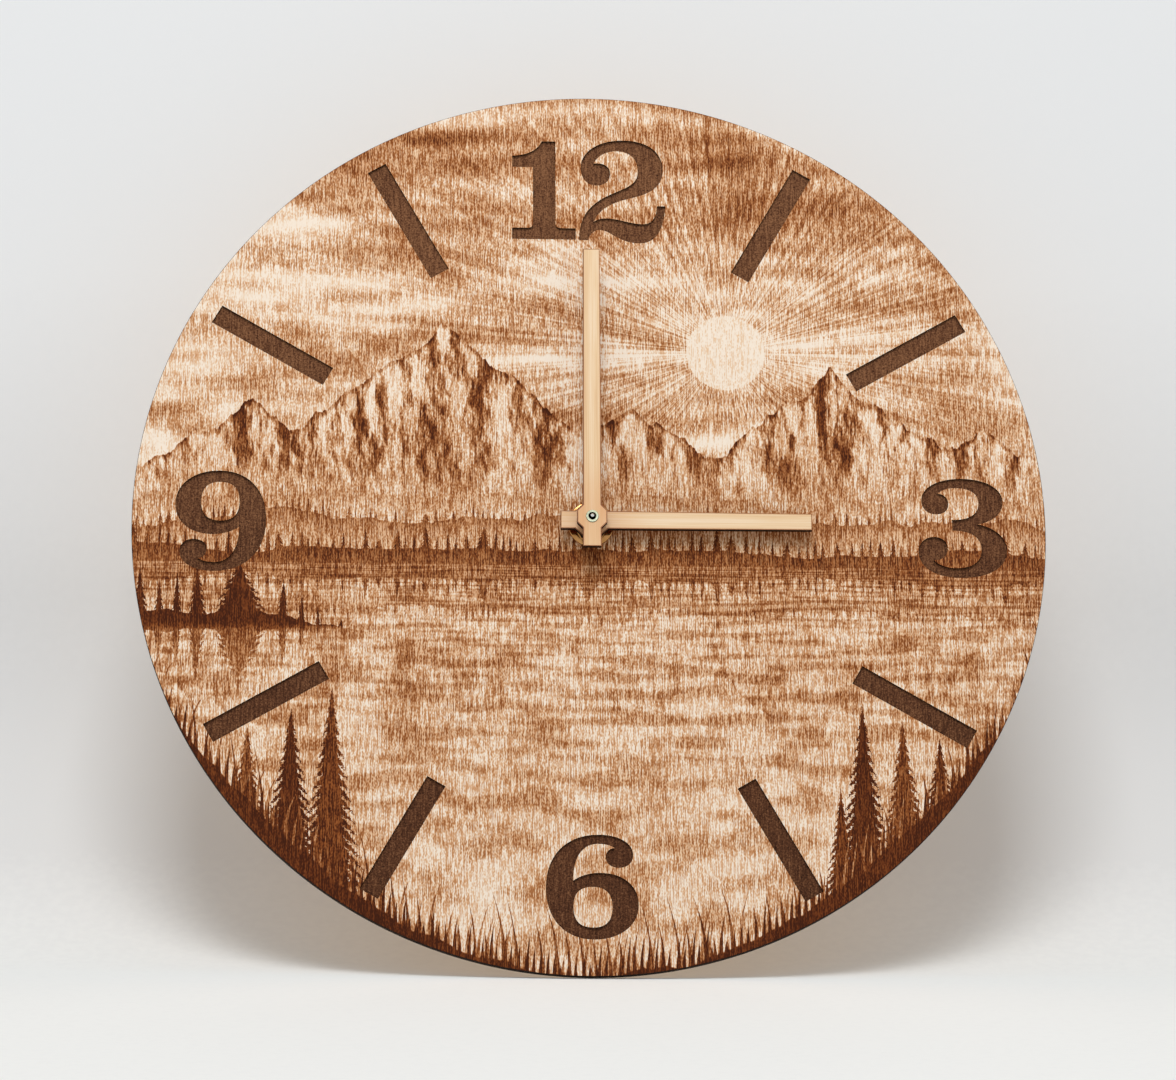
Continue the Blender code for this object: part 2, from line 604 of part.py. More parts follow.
def build_case():
    """Moulded case, open at the back: the train compartment above and the cell's bay below."""
    half_x = INSIDE_X + CASE_WALL
    shell = box((-half_x, CASE_FRONT, CASE_BOTTOM), (half_x, 0.0, CASE_TOP))
    bevel_along_y(shell, CASE_CORNER, 5, lambda point: True)
    case = add_object("movement_case", shell, "black_moulding")
    train = box((-INSIDE_X, CASE_INSIDE, -TRAIN_DROP), (INSIDE_X, CUT_MARGIN, TRAIN_RISE))
    bay = box((-INSIDE_X, CASE_INSIDE, BAY_FLOOR), (INSIDE_X, CUT_MARGIN, BAY_TOP))
    cut(case, merged(train, bay), "rooms")
    cut(case, box((-THUMB_NOTCH_WIDTH / 2, -THUMB_NOTCH_DEPTH, CASE_BOTTOM - CUT_MARGIN),
                  (THUMB_NOTCH_WIDTH / 2, 2 * CUT_MARGIN, BAY_FLOOR + CUT_MARGIN)),
        "thumb_notch")
    openings = [cylinder(BUSH_HOLE, CASE_FRONT - CUT_MARGIN, CASE_INSIDE + CUT_MARGIN)]
    for left in (-INSIDE_X - SOCKET_GAP, INSIDE_X - CONTACT_SLOT):
        openings.append(box(
            (left, CONTACT_FRONT - SEAT_GAP, BAY_TOP - CUT_MARGIN),
            (left + CONTACT_SLOT + SOCKET_GAP, CONTACT_FRONT + CONTACT_WIDTH + SEAT_GAP,
             -TRAIN_DROP + CUT_MARGIN),
        ))
    cut(case, merged(*openings), "openings")
    posts = []
    for x in (-INSIDE_X + POST_INSET, STATOR_RIGHT - POST_INSET):
        for z in (-TRAIN_DROP + POST_INSET, TRAIN_RISE - POST_INSET):
            post = cylinder(POST_RADIUS, CASE_INSIDE - CASE_WALL / 2, PLATE_FRONT - SEAT_GAP,
                            ROUND_SMALL)
            posts.append(moved(post, (x, 0.0, z)))
    fuse(case, merged(*posts), "posts")
    pivot_room = STEM_TIP_RADIUS + RUN_GAP
    boss_back = CASE_INSIDE + BUSH_FLANGE_THICKNESS
    fuse(case, cylinder(BOSS_RADIUS, CASE_INSIDE - CASE_WALL / 2, boss_back, ROUND_SMALL),
         "setting_boss", SETTING_AXIS)
    cut(case, cylinder(pivot_room, CASE_INSIDE - SEAT_GAP, boss_back + CUT_MARGIN, ROUND_SMALL),
        "setting_seat", SETTING_AXIS)


def build_middle_plate():
    """Plate between the motion work and the going train, with the front pivot holes."""
    plate = add_object("middle_plate", box(
        (-INSIDE_X + CONTACT_SLOT, PLATE_FRONT, -TRAIN_DROP + SEAT_GAP),
        (STATOR_RIGHT, PLATE_BACK, BOARD_TOP - SEAT_GAP),
    ), "white_moulding")
    holes = [(CENTRE_AXIS, CENTRE_SEAT_RADIUS + RUN_GAP), (SETTING_AXIS, STEM_RADIUS + RUN_GAP)]
    holes += [(axis, TRAIN_ARBOR_RADIUS + RUN_GAP)
              for axis in (THIRD_AXIS, INTERMEDIATE_AXIS, ROTOR_AXIS)]
    cutters = []
    for axis, radius in holes:
        hole = cylinder(radius, PLATE_FRONT - CUT_MARGIN, PLATE_BACK + CUT_MARGIN)
        cutters.append(moved(hole, (axis.x, 0.0, axis.y)))
    cut(plate, merged(*cutters), "holes")
    posts = []
    root = PLATE_BACK - PLATE_THICKNESS / 2
    for place in BOARD_POSTS:
        post = cylinder(POST_RADIUS, root, BOARD_FRONT - SEAT_GAP, ROUND_SMALL)
        posts.append(moved(post, (place.x, 0.0, place.y)))
    stator_post = cylinder(POST_RADIUS, root, STATOR_FRONT - SEAT_GAP, ROUND_SMALL)
    posts.append(moved(stator_post, (STATOR_POST.x, 0.0, STATOR_POST.y)))
    fuse(plate, merged(*posts), "posts")


def build_rear_cover():
    """Flat cover over the train, with the setting knob's well and a bearing for each arbor."""
    plate = box((-INSIDE_X + SEAT_GAP, -COVER_THICKNESS, -TRAIN_DROP + SEAT_GAP),
                (INSIDE_X - SEAT_GAP, 0.0, TRAIN_RISE - SEAT_GAP))
    cover = add_object("rear_cover", plate, "black_moulding")
    root = -COVER_THICKNESS / 2
    well = KNOB_RADIUS + WELL_GAP
    cup_front = -WELL_DEPTH - COVER_THICKNESS
    fuse(cover, cylinder(well + COVER_THICKNESS, cup_front, root, ROUND_LARGE), "well_cup",
         SETTING_AXIS)
    stem_room = STEM_RADIUS + RUN_GAP
    cut(cover, turned([
        (0.0, cup_front - CUT_MARGIN), (stem_room, cup_front - CUT_MARGIN),
        (stem_room, -WELL_DEPTH), (well, -WELL_DEPTH), (well, CUT_MARGIN), (0.0, CUT_MARGIN),
    ], ROUND_LARGE), "well", SETTING_AXIS)
    bosses = []
    bore = TRAIN_ARBOR_RADIUS + RUN_GAP
    seat_back = ARBOR_REAR + SEAT_GAP
    for axis in (CENTRE_AXIS, THIRD_AXIS, INTERMEDIATE_AXIS, ROTOR_AXIS):
        boss = turned([
            (0.0, root), (BOSS_RADIUS, root), (BOSS_RADIUS, BOSS_FRONT), (bore, BOSS_FRONT),
            (bore, seat_back), (0.0, seat_back),
        ], ROUND_SMALL)
        bosses.append(moved(boss, (axis.x, 0.0, axis.y)))
    for place in BOARD_POSTS:
        leg = cylinder(POST_RADIUS, BOARD_BACK + SEAT_GAP, root, ROUND_SMALL)
        bosses.append(moved(leg, (place.x, 0.0, place.y)))
    stator_leg = cylinder(POST_RADIUS, STATOR_BACK + SEAT_GAP, root, ROUND_SMALL)
    bosses.append(moved(stator_leg, (STATOR_POST.x, 0.0, STATOR_POST.y)))
    fuse(cover, merged(*bosses), "bosses")


def build_motor():
    """Stator, coil on its bobbin and the core strip that joins the stator's lugs."""
    lug_right = COIL_X + CORE_WIDTH / 2 + SEAT_GAP
    low_inner = STATOR_BOTTOM + STATOR_LUG_HEIGHT
    high_inner = STATOR_TOP - STATOR_LUG_HEIGHT
    outline = [
        (STATOR_LEFT, STATOR_BOTTOM), (lug_right, STATOR_BOTTOM), (lug_right, low_inner),
        (STATOR_RIGHT, low_inner), (STATOR_RIGHT, high_inner), (lug_right, high_inner),
        (lug_right, STATOR_TOP), (STATOR_LEFT, STATOR_TOP),
    ]
    stator = add_object("stator", prism(outline, STATOR_FRONT, STATOR_BACK), "lamination")
    cut(stator, cylinder(MAGNET_RADIUS + STATOR_AIR_GAP, STATOR_FRONT - CUT_MARGIN,
                         STATOR_BACK + CUT_MARGIN), "rotor_hole", ROTOR_AXIS)
    core_back = STATOR_FRONT - SEAT_GAP
    core_front = core_back - CORE_THICKNESS
    core_left = COIL_X - CORE_WIDTH / 2
    core_right = COIL_X + CORE_WIDTH / 2
    add_object("coil_core", box(
        (core_left, core_front, STATOR_BOTTOM), (core_right, core_back, STATOR_TOP)
    ), "lamination")
    low = low_inner + SEAT_GAP
    high = high_inner - SEAT_GAP
    spool = turned([
        (0.0, low), (COIL_RADIUS, low), (COIL_RADIUS, low + COIL_FLANGE),
        (COIL_CORE_RADIUS, low + COIL_FLANGE), (COIL_CORE_RADIUS, high - COIL_FLANGE),
        (COIL_RADIUS, high - COIL_FLANGE), (COIL_RADIUS, high), (0.0, high),
    ], ROUND_MEDIUM)
    place = (COIL_X, (core_front + core_back) / 2, 0.0)
    bobbin = add_object("coil_bobbin", moved(rotated(spool, 90.0, "X"), place), "amber_moulding")
    cut(bobbin, box(
        (core_left - SOCKET_GAP, core_front - SOCKET_GAP, low - CUT_MARGIN),
        (core_right + SOCKET_GAP, core_back + SOCKET_GAP, high + CUT_MARGIN),
    ), "core_slot")
    winding = ring(COIL_RADIUS - SOCKET_GAP, COIL_CORE_RADIUS + SOCKET_GAP,
                   low + COIL_FLANGE + SOCKET_GAP, high - COIL_FLANGE - SOCKET_GAP)
    add_object("coil_winding", moved(rotated(winding, 90.0, "X"), place), "copper_wire")


def build_electronics():
    """Circuit board with the chip under its blob of epoxy and the crystal in its can."""
    add_object("circuit_board", box(
        (BOARD_LEFT, BOARD_FRONT, BOARD_TOP - BOARD_HEIGHT), (BOARD_RIGHT, BOARD_BACK, BOARD_TOP)
    ), "circuit_laminate")
    middle = Vector(((BOARD_LEFT + BOARD_RIGHT) / 2, BOARD_TOP - BOARD_HEIGHT / 2))
    seat = BOARD_BACK + SOCKET_GAP
    rim = [polar(1.0, 18.0 * step) for step in range(6)]
    dome = [(0.0, seat)]
    dome += [(CHIP_RADIUS * point.x, seat + CHIP_HEIGHT * point.y) for point in rim[:-1]]
    dome.append((0.0, seat + CHIP_HEIGHT))
    add_object("timing_chip", turned(dome, ROUND_MEDIUM), "epoxy", middle)
    can = cylinder(CRYSTAL_RADIUS, -CRYSTAL_LENGTH / 2, CRYSTAL_LENGTH / 2, ROUND_SMALL)
    can = moved(rotated(can, 90.0, "Z"), (0.0, seat + CRYSTAL_RADIUS, 0.0))
    add_object("quartz_crystal", can, "steel", middle - Vector((CRYSTAL_OFFSET, 0.0)))


def strip(points, thickness, front, back):
    """Thin bent strip along Y's width, whose centre line runs through the points."""
    left = []
    right = []
    for index, point in enumerate(points):
        before = points[max(index - 1, 0)]
        after = points[min(index + 1, len(points) - 1)]
        along = (point - before).normalized() + (after - point).normalized()
        normal = Vector((-along.y, along.x)).normalized()
        left.append(point + normal * thickness / 2)
        right.append(point - normal * thickness / 2)
    return prism([tuple(point) for point in left + right[::-1]], front, back)


def build_contacts():
    """Bent brass strips from the ends of the cell to the circuit board.

    Each stands in its slot and bows in against the cell. The negative one ends beside the
    board's left edge, and the positive one crosses over the motor to the board's top edge.
    """
    side = CONTACT_X - CONTACT_THICKNESS / 2
    touch = SEAT_GAP + CONTACT_THICKNESS / 2
    top = TRAIN_RISE - SEAT_GAP - CONTACT_THICKNESS / 2
    back = CONTACT_FRONT + CONTACT_WIDTH
    negative = [
        Vector((-side, CELL_Z - CONTACT_BOW)), Vector((CELL_LEFT - touch, CELL_Z)),
        Vector((-side, CELL_Z + CONTACT_BOW)), Vector((-side, BOARD_TOP - BOARD_HEIGHT / 2)),
    ]
    add_object("negative_contact", strip(negative, CONTACT_THICKNESS, CONTACT_FRONT, back),
               "brass")
    positive = [
        Vector((side, CELL_Z - CONTACT_BOW)), Vector((CELL_RIGHT + touch, CELL_Z)),
        Vector((side, CELL_Z + CONTACT_BOW)), Vector((side, top - CONTACT_BEND)),
        Vector((side - CONTACT_BEND, top)), Vector((BOARD_RIGHT - CONTACT_TAIL, top)),
    ]
    add_object("positive_contact", strip(positive, CONTACT_THICKNESS, CONTACT_FRONT, back),
               "brass")


def build_cell():
    """Round cell lying across the bay, its nub towards three o'clock."""
    axis = add_axis("cell_slide", Vector((0.0, CELL_Z)))
    shoulder = CELL_RIGHT - CELL_NUB_LENGTH
    profile = [
        (0.0, CELL_LEFT), (CELL_RADIUS - CELL_EDGE, CELL_LEFT),
        (CELL_RADIUS, CELL_LEFT + CELL_EDGE), (CELL_RADIUS, shoulder - CELL_EDGE),
        (CELL_RADIUS - CELL_EDGE, shoulder), (CELL_NUB_RADIUS, shoulder),
        (CELL_NUB_RADIUS, CELL_RIGHT), (0.0, CELL_RIGHT),
    ]
    body = rotated(turned(profile, ROUND_LARGE), -90.0, "Z")
    add_object("battery_cell", moved(body, (0.0, CELL_Y, 0.0)), "cell_sleeve", parent=axis)


def build_minute_group():
    """Minute hand on the tube that also carries the cannon pinion."""
    axis = add_axis("minute_axis", CENTRE_AXIS)
    build_hand("minute_hand", MINUTE_REACH, MINUTE_HUB, MINUTE_HAND_BACK,
               MINUTE_TUBE_RADIUS + SOCKET_GAP, 0.0, axis)
    shoulder = MINUTE_WHEEL_FRONT + PINION_LENGTH
    rear = CENTRE_FRONT + WHEEL_THICKNESS + SEAT_GAP
    tube = add_object("minute_arbor", turned([
        (0.0, MINUTE_TUBE_TIP), (MINUTE_TUBE_RADIUS, MINUTE_TUBE_TIP),
        (MINUTE_TUBE_RADIUS, shoulder), (CENTRE_SEAT_RADIUS, shoulder),
        (CENTRE_SEAT_RADIUS, rear), (0.0, rear),
    ], ROUND_MEDIUM), "nickel", parent=axis)
    fuse(tube, gear(CANNON_TEETH, CANNON_MODULE, CANNON_PHASE, MINUTE_WHEEL_FRONT,
                    PINION_LENGTH), "pinion", parent=axis)
    cut(tube, cylinder(MINUTE_TUBE_BORE, MINUTE_TUBE_TIP - CUT_MARGIN, rear + CUT_MARGIN),
        "bore", parent=axis)


def build_hour_group():
    """Hour hand on the tube of the hour wheel."""
    axis = add_axis("hour_axis", CENTRE_AXIS)
    build_hand("hour_hand", HOUR_REACH, HOUR_HUB, HOUR_HAND_BACK,
               HOUR_TUBE_RADIUS + SOCKET_GAP, 90.0, axis)
    wheel = add_object("hour_wheel", gear(
        HOUR_WHEEL_TEETH, SETTING_MODULE, HOUR_WHEEL_PHASE, HOUR_WHEEL_FRONT, WHEEL_THICKNESS
    ), "white_moulding", parent=axis)
    fuse(wheel, cylinder(HOUR_TUBE_RADIUS, HOUR_TUBE_TIP, HOUR_WHEEL_FRONT + WHEEL_THICKNESS / 2),
         "tube", parent=axis)
    cut(wheel, cylinder(HOUR_TUBE_BORE, HOUR_TUBE_TIP - CUT_MARGIN,
                        HOUR_WHEEL_FRONT + WHEEL_THICKNESS + CUT_MARGIN), "bore", parent=axis)


def build_setting_group():
    """Minute wheel with its pinion, and the setting knob whose stem drives them."""
    axis = add_axis("setting_axis", SETTING_AXIS)
    wheel_back = MINUTE_WHEEL_FRONT + WHEEL_THICKNESS
    wheel = add_object("minute_wheel", gear(
        MINUTE_WHEEL_TEETH, CANNON_MODULE, MINUTE_WHEEL_PHASE, MINUTE_WHEEL_FRONT,
        WHEEL_THICKNESS,
    ), "white_moulding", parent=axis)
    fuse(wheel, prism(
        gear_outline(SETTING_PINION_TEETH, SETTING_MODULE, SETTING_PINION_PHASE),
        HOUR_WHEEL_FRONT - SOCKET_GAP, wheel_back - WHEEL_THICKNESS / 2,
    ), "pinion", parent=axis)
    fuse(wheel, cylinder(STEM_TIP_RADIUS, CASE_INSIDE, MINUTE_WHEEL_FRONT, ROUND_SMALL),
         "pivot", parent=axis)
    tip_front = wheel_back - STEM_TIP_LENGTH
    cut(wheel, cylinder(STEM_TIP_RADIUS + SOCKET_GAP, tip_front - SEAT_GAP,
                        wheel_back + CUT_MARGIN, ROUND_SMALL), "socket", parent=axis)
    knob_back = -SEAT_GAP
    knob_front = knob_back - KNOB_THICKNESS
    stem_front = wheel_back + SEAT_GAP
    knob = add_object("setting_knob", turned([
        (0.0, tip_front), (STEM_TIP_RADIUS, tip_front), (STEM_TIP_RADIUS, stem_front),
        (STEM_RADIUS, stem_front), (STEM_RADIUS, knob_front), (KNOB_RADIUS, knob_front),
        (KNOB_RADIUS, knob_back), (0.0, knob_back),
    ], ROUND_LARGE), "white_moulding", parent=axis)
    flutes = []
    for index in range(KNOB_FLUTES):
        place = polar(KNOB_RADIUS, 360.0 * index / KNOB_FLUTES)
        flute = cylinder(KNOB_FLUTE_RADIUS, knob_front - CUT_MARGIN, knob_back + CUT_MARGIN, 6)
        flutes.append(moved(flute, (place.x, 0.0, place.y)))
    slot = box((-KNOB_SLOT_LENGTH / 2, knob_back - KNOB_SLOT_DEPTH, -KNOB_SLOT_WIDTH / 2),
               (KNOB_SLOT_LENGTH / 2, CUT_MARGIN, KNOB_SLOT_WIDTH / 2))
    cut(knob, merged(slot, *flutes), "grip", parent=axis)


def build_centre_gear():
    """Centre gear, which drives the minute tube through a friction seat."""
    axis = add_axis("centre_axis", CENTRE_AXIS)
    wheel = add_object("centre_gear", gear(
        CENTRE_TEETH, CENTRE_MODULE, CENTRE_PHASE, CENTRE_FRONT, WHEEL_THICKNESS
    ), "white_moulding", parent=axis)
    cut(wheel, cylinder(CENTRE_SEAT_RADIUS + SOCKET_GAP, CENTRE_FRONT - CUT_MARGIN,
                        CENTRE_FRONT + WHEEL_THICKNESS + CUT_MARGIN), "bore", parent=axis)


def build_train_wheel(name, axis_name, axis, wheel, pinion):
    """Wheel and the pinion in front of it, moulded on one arbor.

    The wheel and the pinion are each (teeth, module, phase, front, thickness). The hub starts
    behind the wheel that turns the pinion, because it fills the roots of the pinion's teeth.
    """
    carrier = add_axis(axis_name, axis)
    made = add_object(name, gear(*wheel), "white_moulding", parent=carrier)
    fuse(made, gear(*pinion), "pinion", parent=carrier)
    hub_front = pinion[3] + WHEEL_THICKNESS + 2 * SEAT_GAP
    hub_back = wheel[3] + wheel[4] + SOCKET_GAP
    fuse(made, cylinder(HUB_RADIUS, hub_front, hub_back, ROUND_SMALL), "hub", parent=carrier)
    fuse(made, cylinder(TRAIN_ARBOR_RADIUS, ARBOR_FRONT, ARBOR_REAR, ROUND_SMALL),
         "arbor", parent=carrier)


def build_seconds_group():
    """Seconds wheel and its pinion on the steel arbor that ends in front of the hands."""
    axis = add_axis("seconds_axis", CENTRE_AXIS)
    wheel = add_object("seconds_wheel", gear(
        SECONDS_TEETH, SECONDS_MODULE, SECONDS_PHASE, SECONDS_FRONT, WHEEL_THICKNESS
    ), "white_moulding", parent=axis)
    fuse(wheel, gear(
        SECONDS_PINION_TEETH, THIRD_MODULE, SECONDS_PINION_PHASE, SECONDS_PINION_FRONT,
        SECONDS_FRONT - SECONDS_PINION_FRONT + WHEEL_THICKNESS / 2,
    ), "pinion", parent=axis)
    cut(wheel, cylinder(SECONDS_PIVOT_RADIUS + SOCKET_GAP / 2, SECONDS_PINION_FRONT - CUT_MARGIN,
                        SECONDS_FRONT + WHEEL_THICKNESS + CUT_MARGIN, ROUND_SMALL),
        "bore", parent=axis)
    collar = SECONDS_PINION_FRONT - SEAT_GAP
    add_object("seconds_arbor", turned([
        (0.0, SECONDS_TIP), (SECONDS_ARBOR_RADIUS - SECONDS_TIP_CHAMFER, SECONDS_TIP),
        (SECONDS_ARBOR_RADIUS, SECONDS_TIP + SECONDS_TIP_CHAMFER), (SECONDS_ARBOR_RADIUS, collar),
        (SECONDS_PIVOT_RADIUS, collar), (SECONDS_PIVOT_RADIUS, ARBOR_REAR), (0.0, ARBOR_REAR),
    ], ROUND_SMALL), "steel", parent=axis)


def build_rotor():
    """Rotor pinion on its arbor, and the ring magnet that the stator turns."""
    axis = add_axis("rotor_axis", ROTOR_AXIS)
    pinion = add_object("rotor_pinion", gear(
        ROTOR_PINION_TEETH, ROTOR_MODULE, ROTOR_PINION_PHASE, INTERMEDIATE_FRONT - SOCKET_GAP,
        WHEEL_THICKNESS + 2 * SOCKET_GAP,
    ), "white_moulding", parent=axis)
    fuse(pinion, cylinder(TRAIN_ARBOR_RADIUS, ARBOR_FRONT, ARBOR_REAR, ROUND_SMALL), "arbor",
         parent=axis)
    middle = (STATOR_FRONT + STATOR_BACK) / 2
    add_object("rotor_magnet", ring(
        MAGNET_RADIUS, TRAIN_ARBOR_RADIUS + SOCKET_GAP, middle - MAGNET_LENGTH / 2,
        middle + MAGNET_LENGTH / 2,
    ), "magnet", parent=axis)


def build_train():
    """Going train, from the centre gear to the rotor."""
    build_centre_gear()
    build_train_wheel(
        "third_wheel", "third_axis", THIRD_AXIS,
        (THIRD_TEETH, THIRD_MODULE, THIRD_PHASE, THIRD_FRONT, WHEEL_THICKNESS),
        (THIRD_PINION_TEETH, CENTRE_MODULE, THIRD_PINION_PHASE, CENTRE_FRONT - SOCKET_GAP,
         THIRD_FRONT - CENTRE_FRONT + 2 * SOCKET_GAP),
    )
    build_seconds_group()
    build_train_wheel(
        "intermediate_wheel", "intermediate_axis", INTERMEDIATE_AXIS,
        (INTERMEDIATE_TEETH, ROTOR_MODULE, INTERMEDIATE_PHASE, INTERMEDIATE_FRONT,
         WHEEL_THICKNESS),
        (INTERMEDIATE_PINION_TEETH, SECONDS_MODULE, INTERMEDIATE_PINION_PHASE,
         SECONDS_FRONT - SOCKET_GAP, INTERMEDIATE_FRONT - SECONDS_FRONT + 2 * SOCKET_GAP),
    )
    build_rotor()


def clear_scene():
    """Remove what a new file starts with."""
    for existing in list(bpy.data.objects):
        bpy.data.objects.remove(existing)


def main():
    """Build the clock from the dial back to the wall, then its moving pieces."""
    clear_scene()
    build_dial()
    build_fixings()
    build_hanger()
    build_bush()
    build_case()
    build_middle_plate()
    build_rear_cover()
    build_motor()
    build_electronics()
    build_contacts()
    build_cell()
    build_minute_group()
    build_hour_group()
    build_setting_group()
    build_train()


main()
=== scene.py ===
"""Finish and surroundings of the round wooden wall clock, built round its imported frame.

The frame is in metres with +Z up, and the dial faces -Y. Sizes here are in millimetres unless a
docstring says otherwise, and MM turns them into metres.
"""

import json
import logging
import math
from dataclasses import dataclass, field
from enum import Enum
from typing import Protocol

import bmesh
import bpy
from mathutils import Matrix, Vector

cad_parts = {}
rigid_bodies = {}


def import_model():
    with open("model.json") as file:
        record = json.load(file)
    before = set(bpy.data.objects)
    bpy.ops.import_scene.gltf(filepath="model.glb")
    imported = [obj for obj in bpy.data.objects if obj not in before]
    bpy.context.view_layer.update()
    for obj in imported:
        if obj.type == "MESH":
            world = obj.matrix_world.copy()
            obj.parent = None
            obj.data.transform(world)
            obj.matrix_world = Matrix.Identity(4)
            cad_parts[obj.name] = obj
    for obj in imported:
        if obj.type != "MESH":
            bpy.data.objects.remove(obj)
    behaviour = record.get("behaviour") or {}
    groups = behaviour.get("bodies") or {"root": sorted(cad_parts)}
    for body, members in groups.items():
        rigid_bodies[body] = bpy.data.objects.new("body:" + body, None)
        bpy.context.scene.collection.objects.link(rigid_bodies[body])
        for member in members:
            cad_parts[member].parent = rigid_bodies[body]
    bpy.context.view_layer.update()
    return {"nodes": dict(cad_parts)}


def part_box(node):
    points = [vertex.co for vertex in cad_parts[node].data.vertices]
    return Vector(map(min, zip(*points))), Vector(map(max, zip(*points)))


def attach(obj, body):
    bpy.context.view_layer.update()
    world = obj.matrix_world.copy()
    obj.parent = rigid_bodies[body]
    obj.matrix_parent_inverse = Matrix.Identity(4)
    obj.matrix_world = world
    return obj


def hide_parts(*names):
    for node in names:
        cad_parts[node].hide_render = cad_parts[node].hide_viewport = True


logging.basicConfig(level=logging.INFO, format="%(message)s")
LOG = logging.getLogger("clock")

MM = 0.001
SHARP_ANGLE = math.radians(30.0)
FLAT_ANGLE = math.radians(1.0)
FULL_TURN = 360.0
HOUR_TURN = 30.0
HOLE_SIDES = 48
ORIGIN = Matrix.Identity(4)
LAID = Matrix.Rotation(math.radians(90.0), 4, "X")

Point = tuple[float, float]
Triple = tuple[float, float, float]
Tones = tuple[tuple[float, str], ...]

for existing in list(bpy.data.objects):
    bpy.data.objects.remove(existing)
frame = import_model()


def linear(colour: str) -> tuple[float, float, float, float]:
    """Turn an sRGB hex colour into linear RGBA.

    Args:
        colour: six hex digits, such as "EBC8A7".

    Returns:
        The linear colour with an alpha of one.
    """
    channels = [int(colour[start:start + 2], 16) / 255.0 for start in (0, 2, 4)]
    return (*[c / 12.92 if c <= 0.04045 else ((c + 0.055) / 1.055) ** 2.4 for c in channels], 1.0)


class Graph:
    """Node tree of a material or of the world."""

    def __init__(self, tree: bpy.types.NodeTree) -> None:
        """Start with the tree emptied."""
        self.tree = tree
        tree.nodes.clear()

    def add(self, kind: str, sockets: dict | None = None, output: int | str = 0,
            **settings) -> "Field":
        """Add a node, set it up and link it.

        Args:
            kind: type of node, without its ShaderNode prefix.
            sockets: inputs by index or name, each a plain value or the field that feeds it.
            output: output to return, by index or name.
            settings: the node's own properties.

        Returns:
            The chosen output.
        """
        node = self.tree.nodes.new("ShaderNode" + kind)
        for name, value in settings.items():
            setattr(node, name, value)
        for key, value in (sockets or {}).items():
            if isinstance(value, Field):
                self.tree.links.new(value.socket, node.inputs[key])
            else:
                node.inputs[key].default_value = value
        return Field(self, node.outputs[output] if len(node.outputs) else None)

    def looked_at(self) -> "Field":
        """One for what the camera or a shiny surface sees, zero for all other light."""
        rays = self.add("LightPath", output="Is Camera Ray")
        return rays.worked("MAXIMUM", rays.part("Is Glossy Ray"))


@dataclass(frozen=True)
class Field:
    """Output of a node. Where it is a number, sums and products of it add Math nodes."""

    graph: Graph
    socket: bpy.types.NodeSocket | None

    def part(self, output: int | str) -> "Field":
        """Another output of the same node."""
        return Field(self.graph, self.socket.node.outputs[output])

    def worked(self, operation: str, *others: "Field | float") -> "Field":
        """Result of one of the Math node's operations on this number and others."""
        return self.graph.add("Math", dict(enumerate((self, *others))), operation=operation)

    def __add__(self, other: "Field | float") -> "Field":
        """Sum."""
        return self.worked("ADD", other)

    def __sub__(self, other: "Field | float") -> "Field":
        """Difference."""
        return self.worked("SUBTRACT", other)

    def __mul__(self, other: "Field | float") -> "Field":
        """Product."""
        return self.worked("MULTIPLY", other)

    def __truediv__(self, other: "Field | float") -> "Field":
        """Quotient."""
        return self.worked("DIVIDE", other)

    def __rsub__(self, other: float) -> "Field":
        """Difference from a plain number."""
        return self.worked("MULTIPLY_ADD", -1.0, other)

    def __abs__(self) -> "Field":
        """Size without its sign."""
        return self.worked("ABSOLUTE")

    __radd__ = __add__
    __rmul__ = __mul__

    def reach(self, other: "Field") -> "Field":
        """Distance from zero of the point that this number and another give."""
        return (self * self + other * other).worked("SQRT")

    def fade(self, start: float, end: float, low: float = 0.0, high: float = 1.0) -> "Field":
        """Value that eases from low to high while this one goes from start to end."""
        return self.graph.add("MapRange", {"Value": self, "From Min": start, "From Max": end,
                                           "To Min": low, "To Max": high},
                              interpolation_type="SMOOTHSTEP")

    def spread(self, low: float, high: float) -> "Field":
        """This noise, most of which lies between 0.3 and 0.7, stretched from low to high."""
        return self.fade(0.3, 0.7, low, high)

    def covered(self, over: "Field | float", mask: "Field") -> "Field":
        """This value, with another over it where the mask is one."""
        return self.graph.add("Mix", {0: mask, 2: self, 3: over})


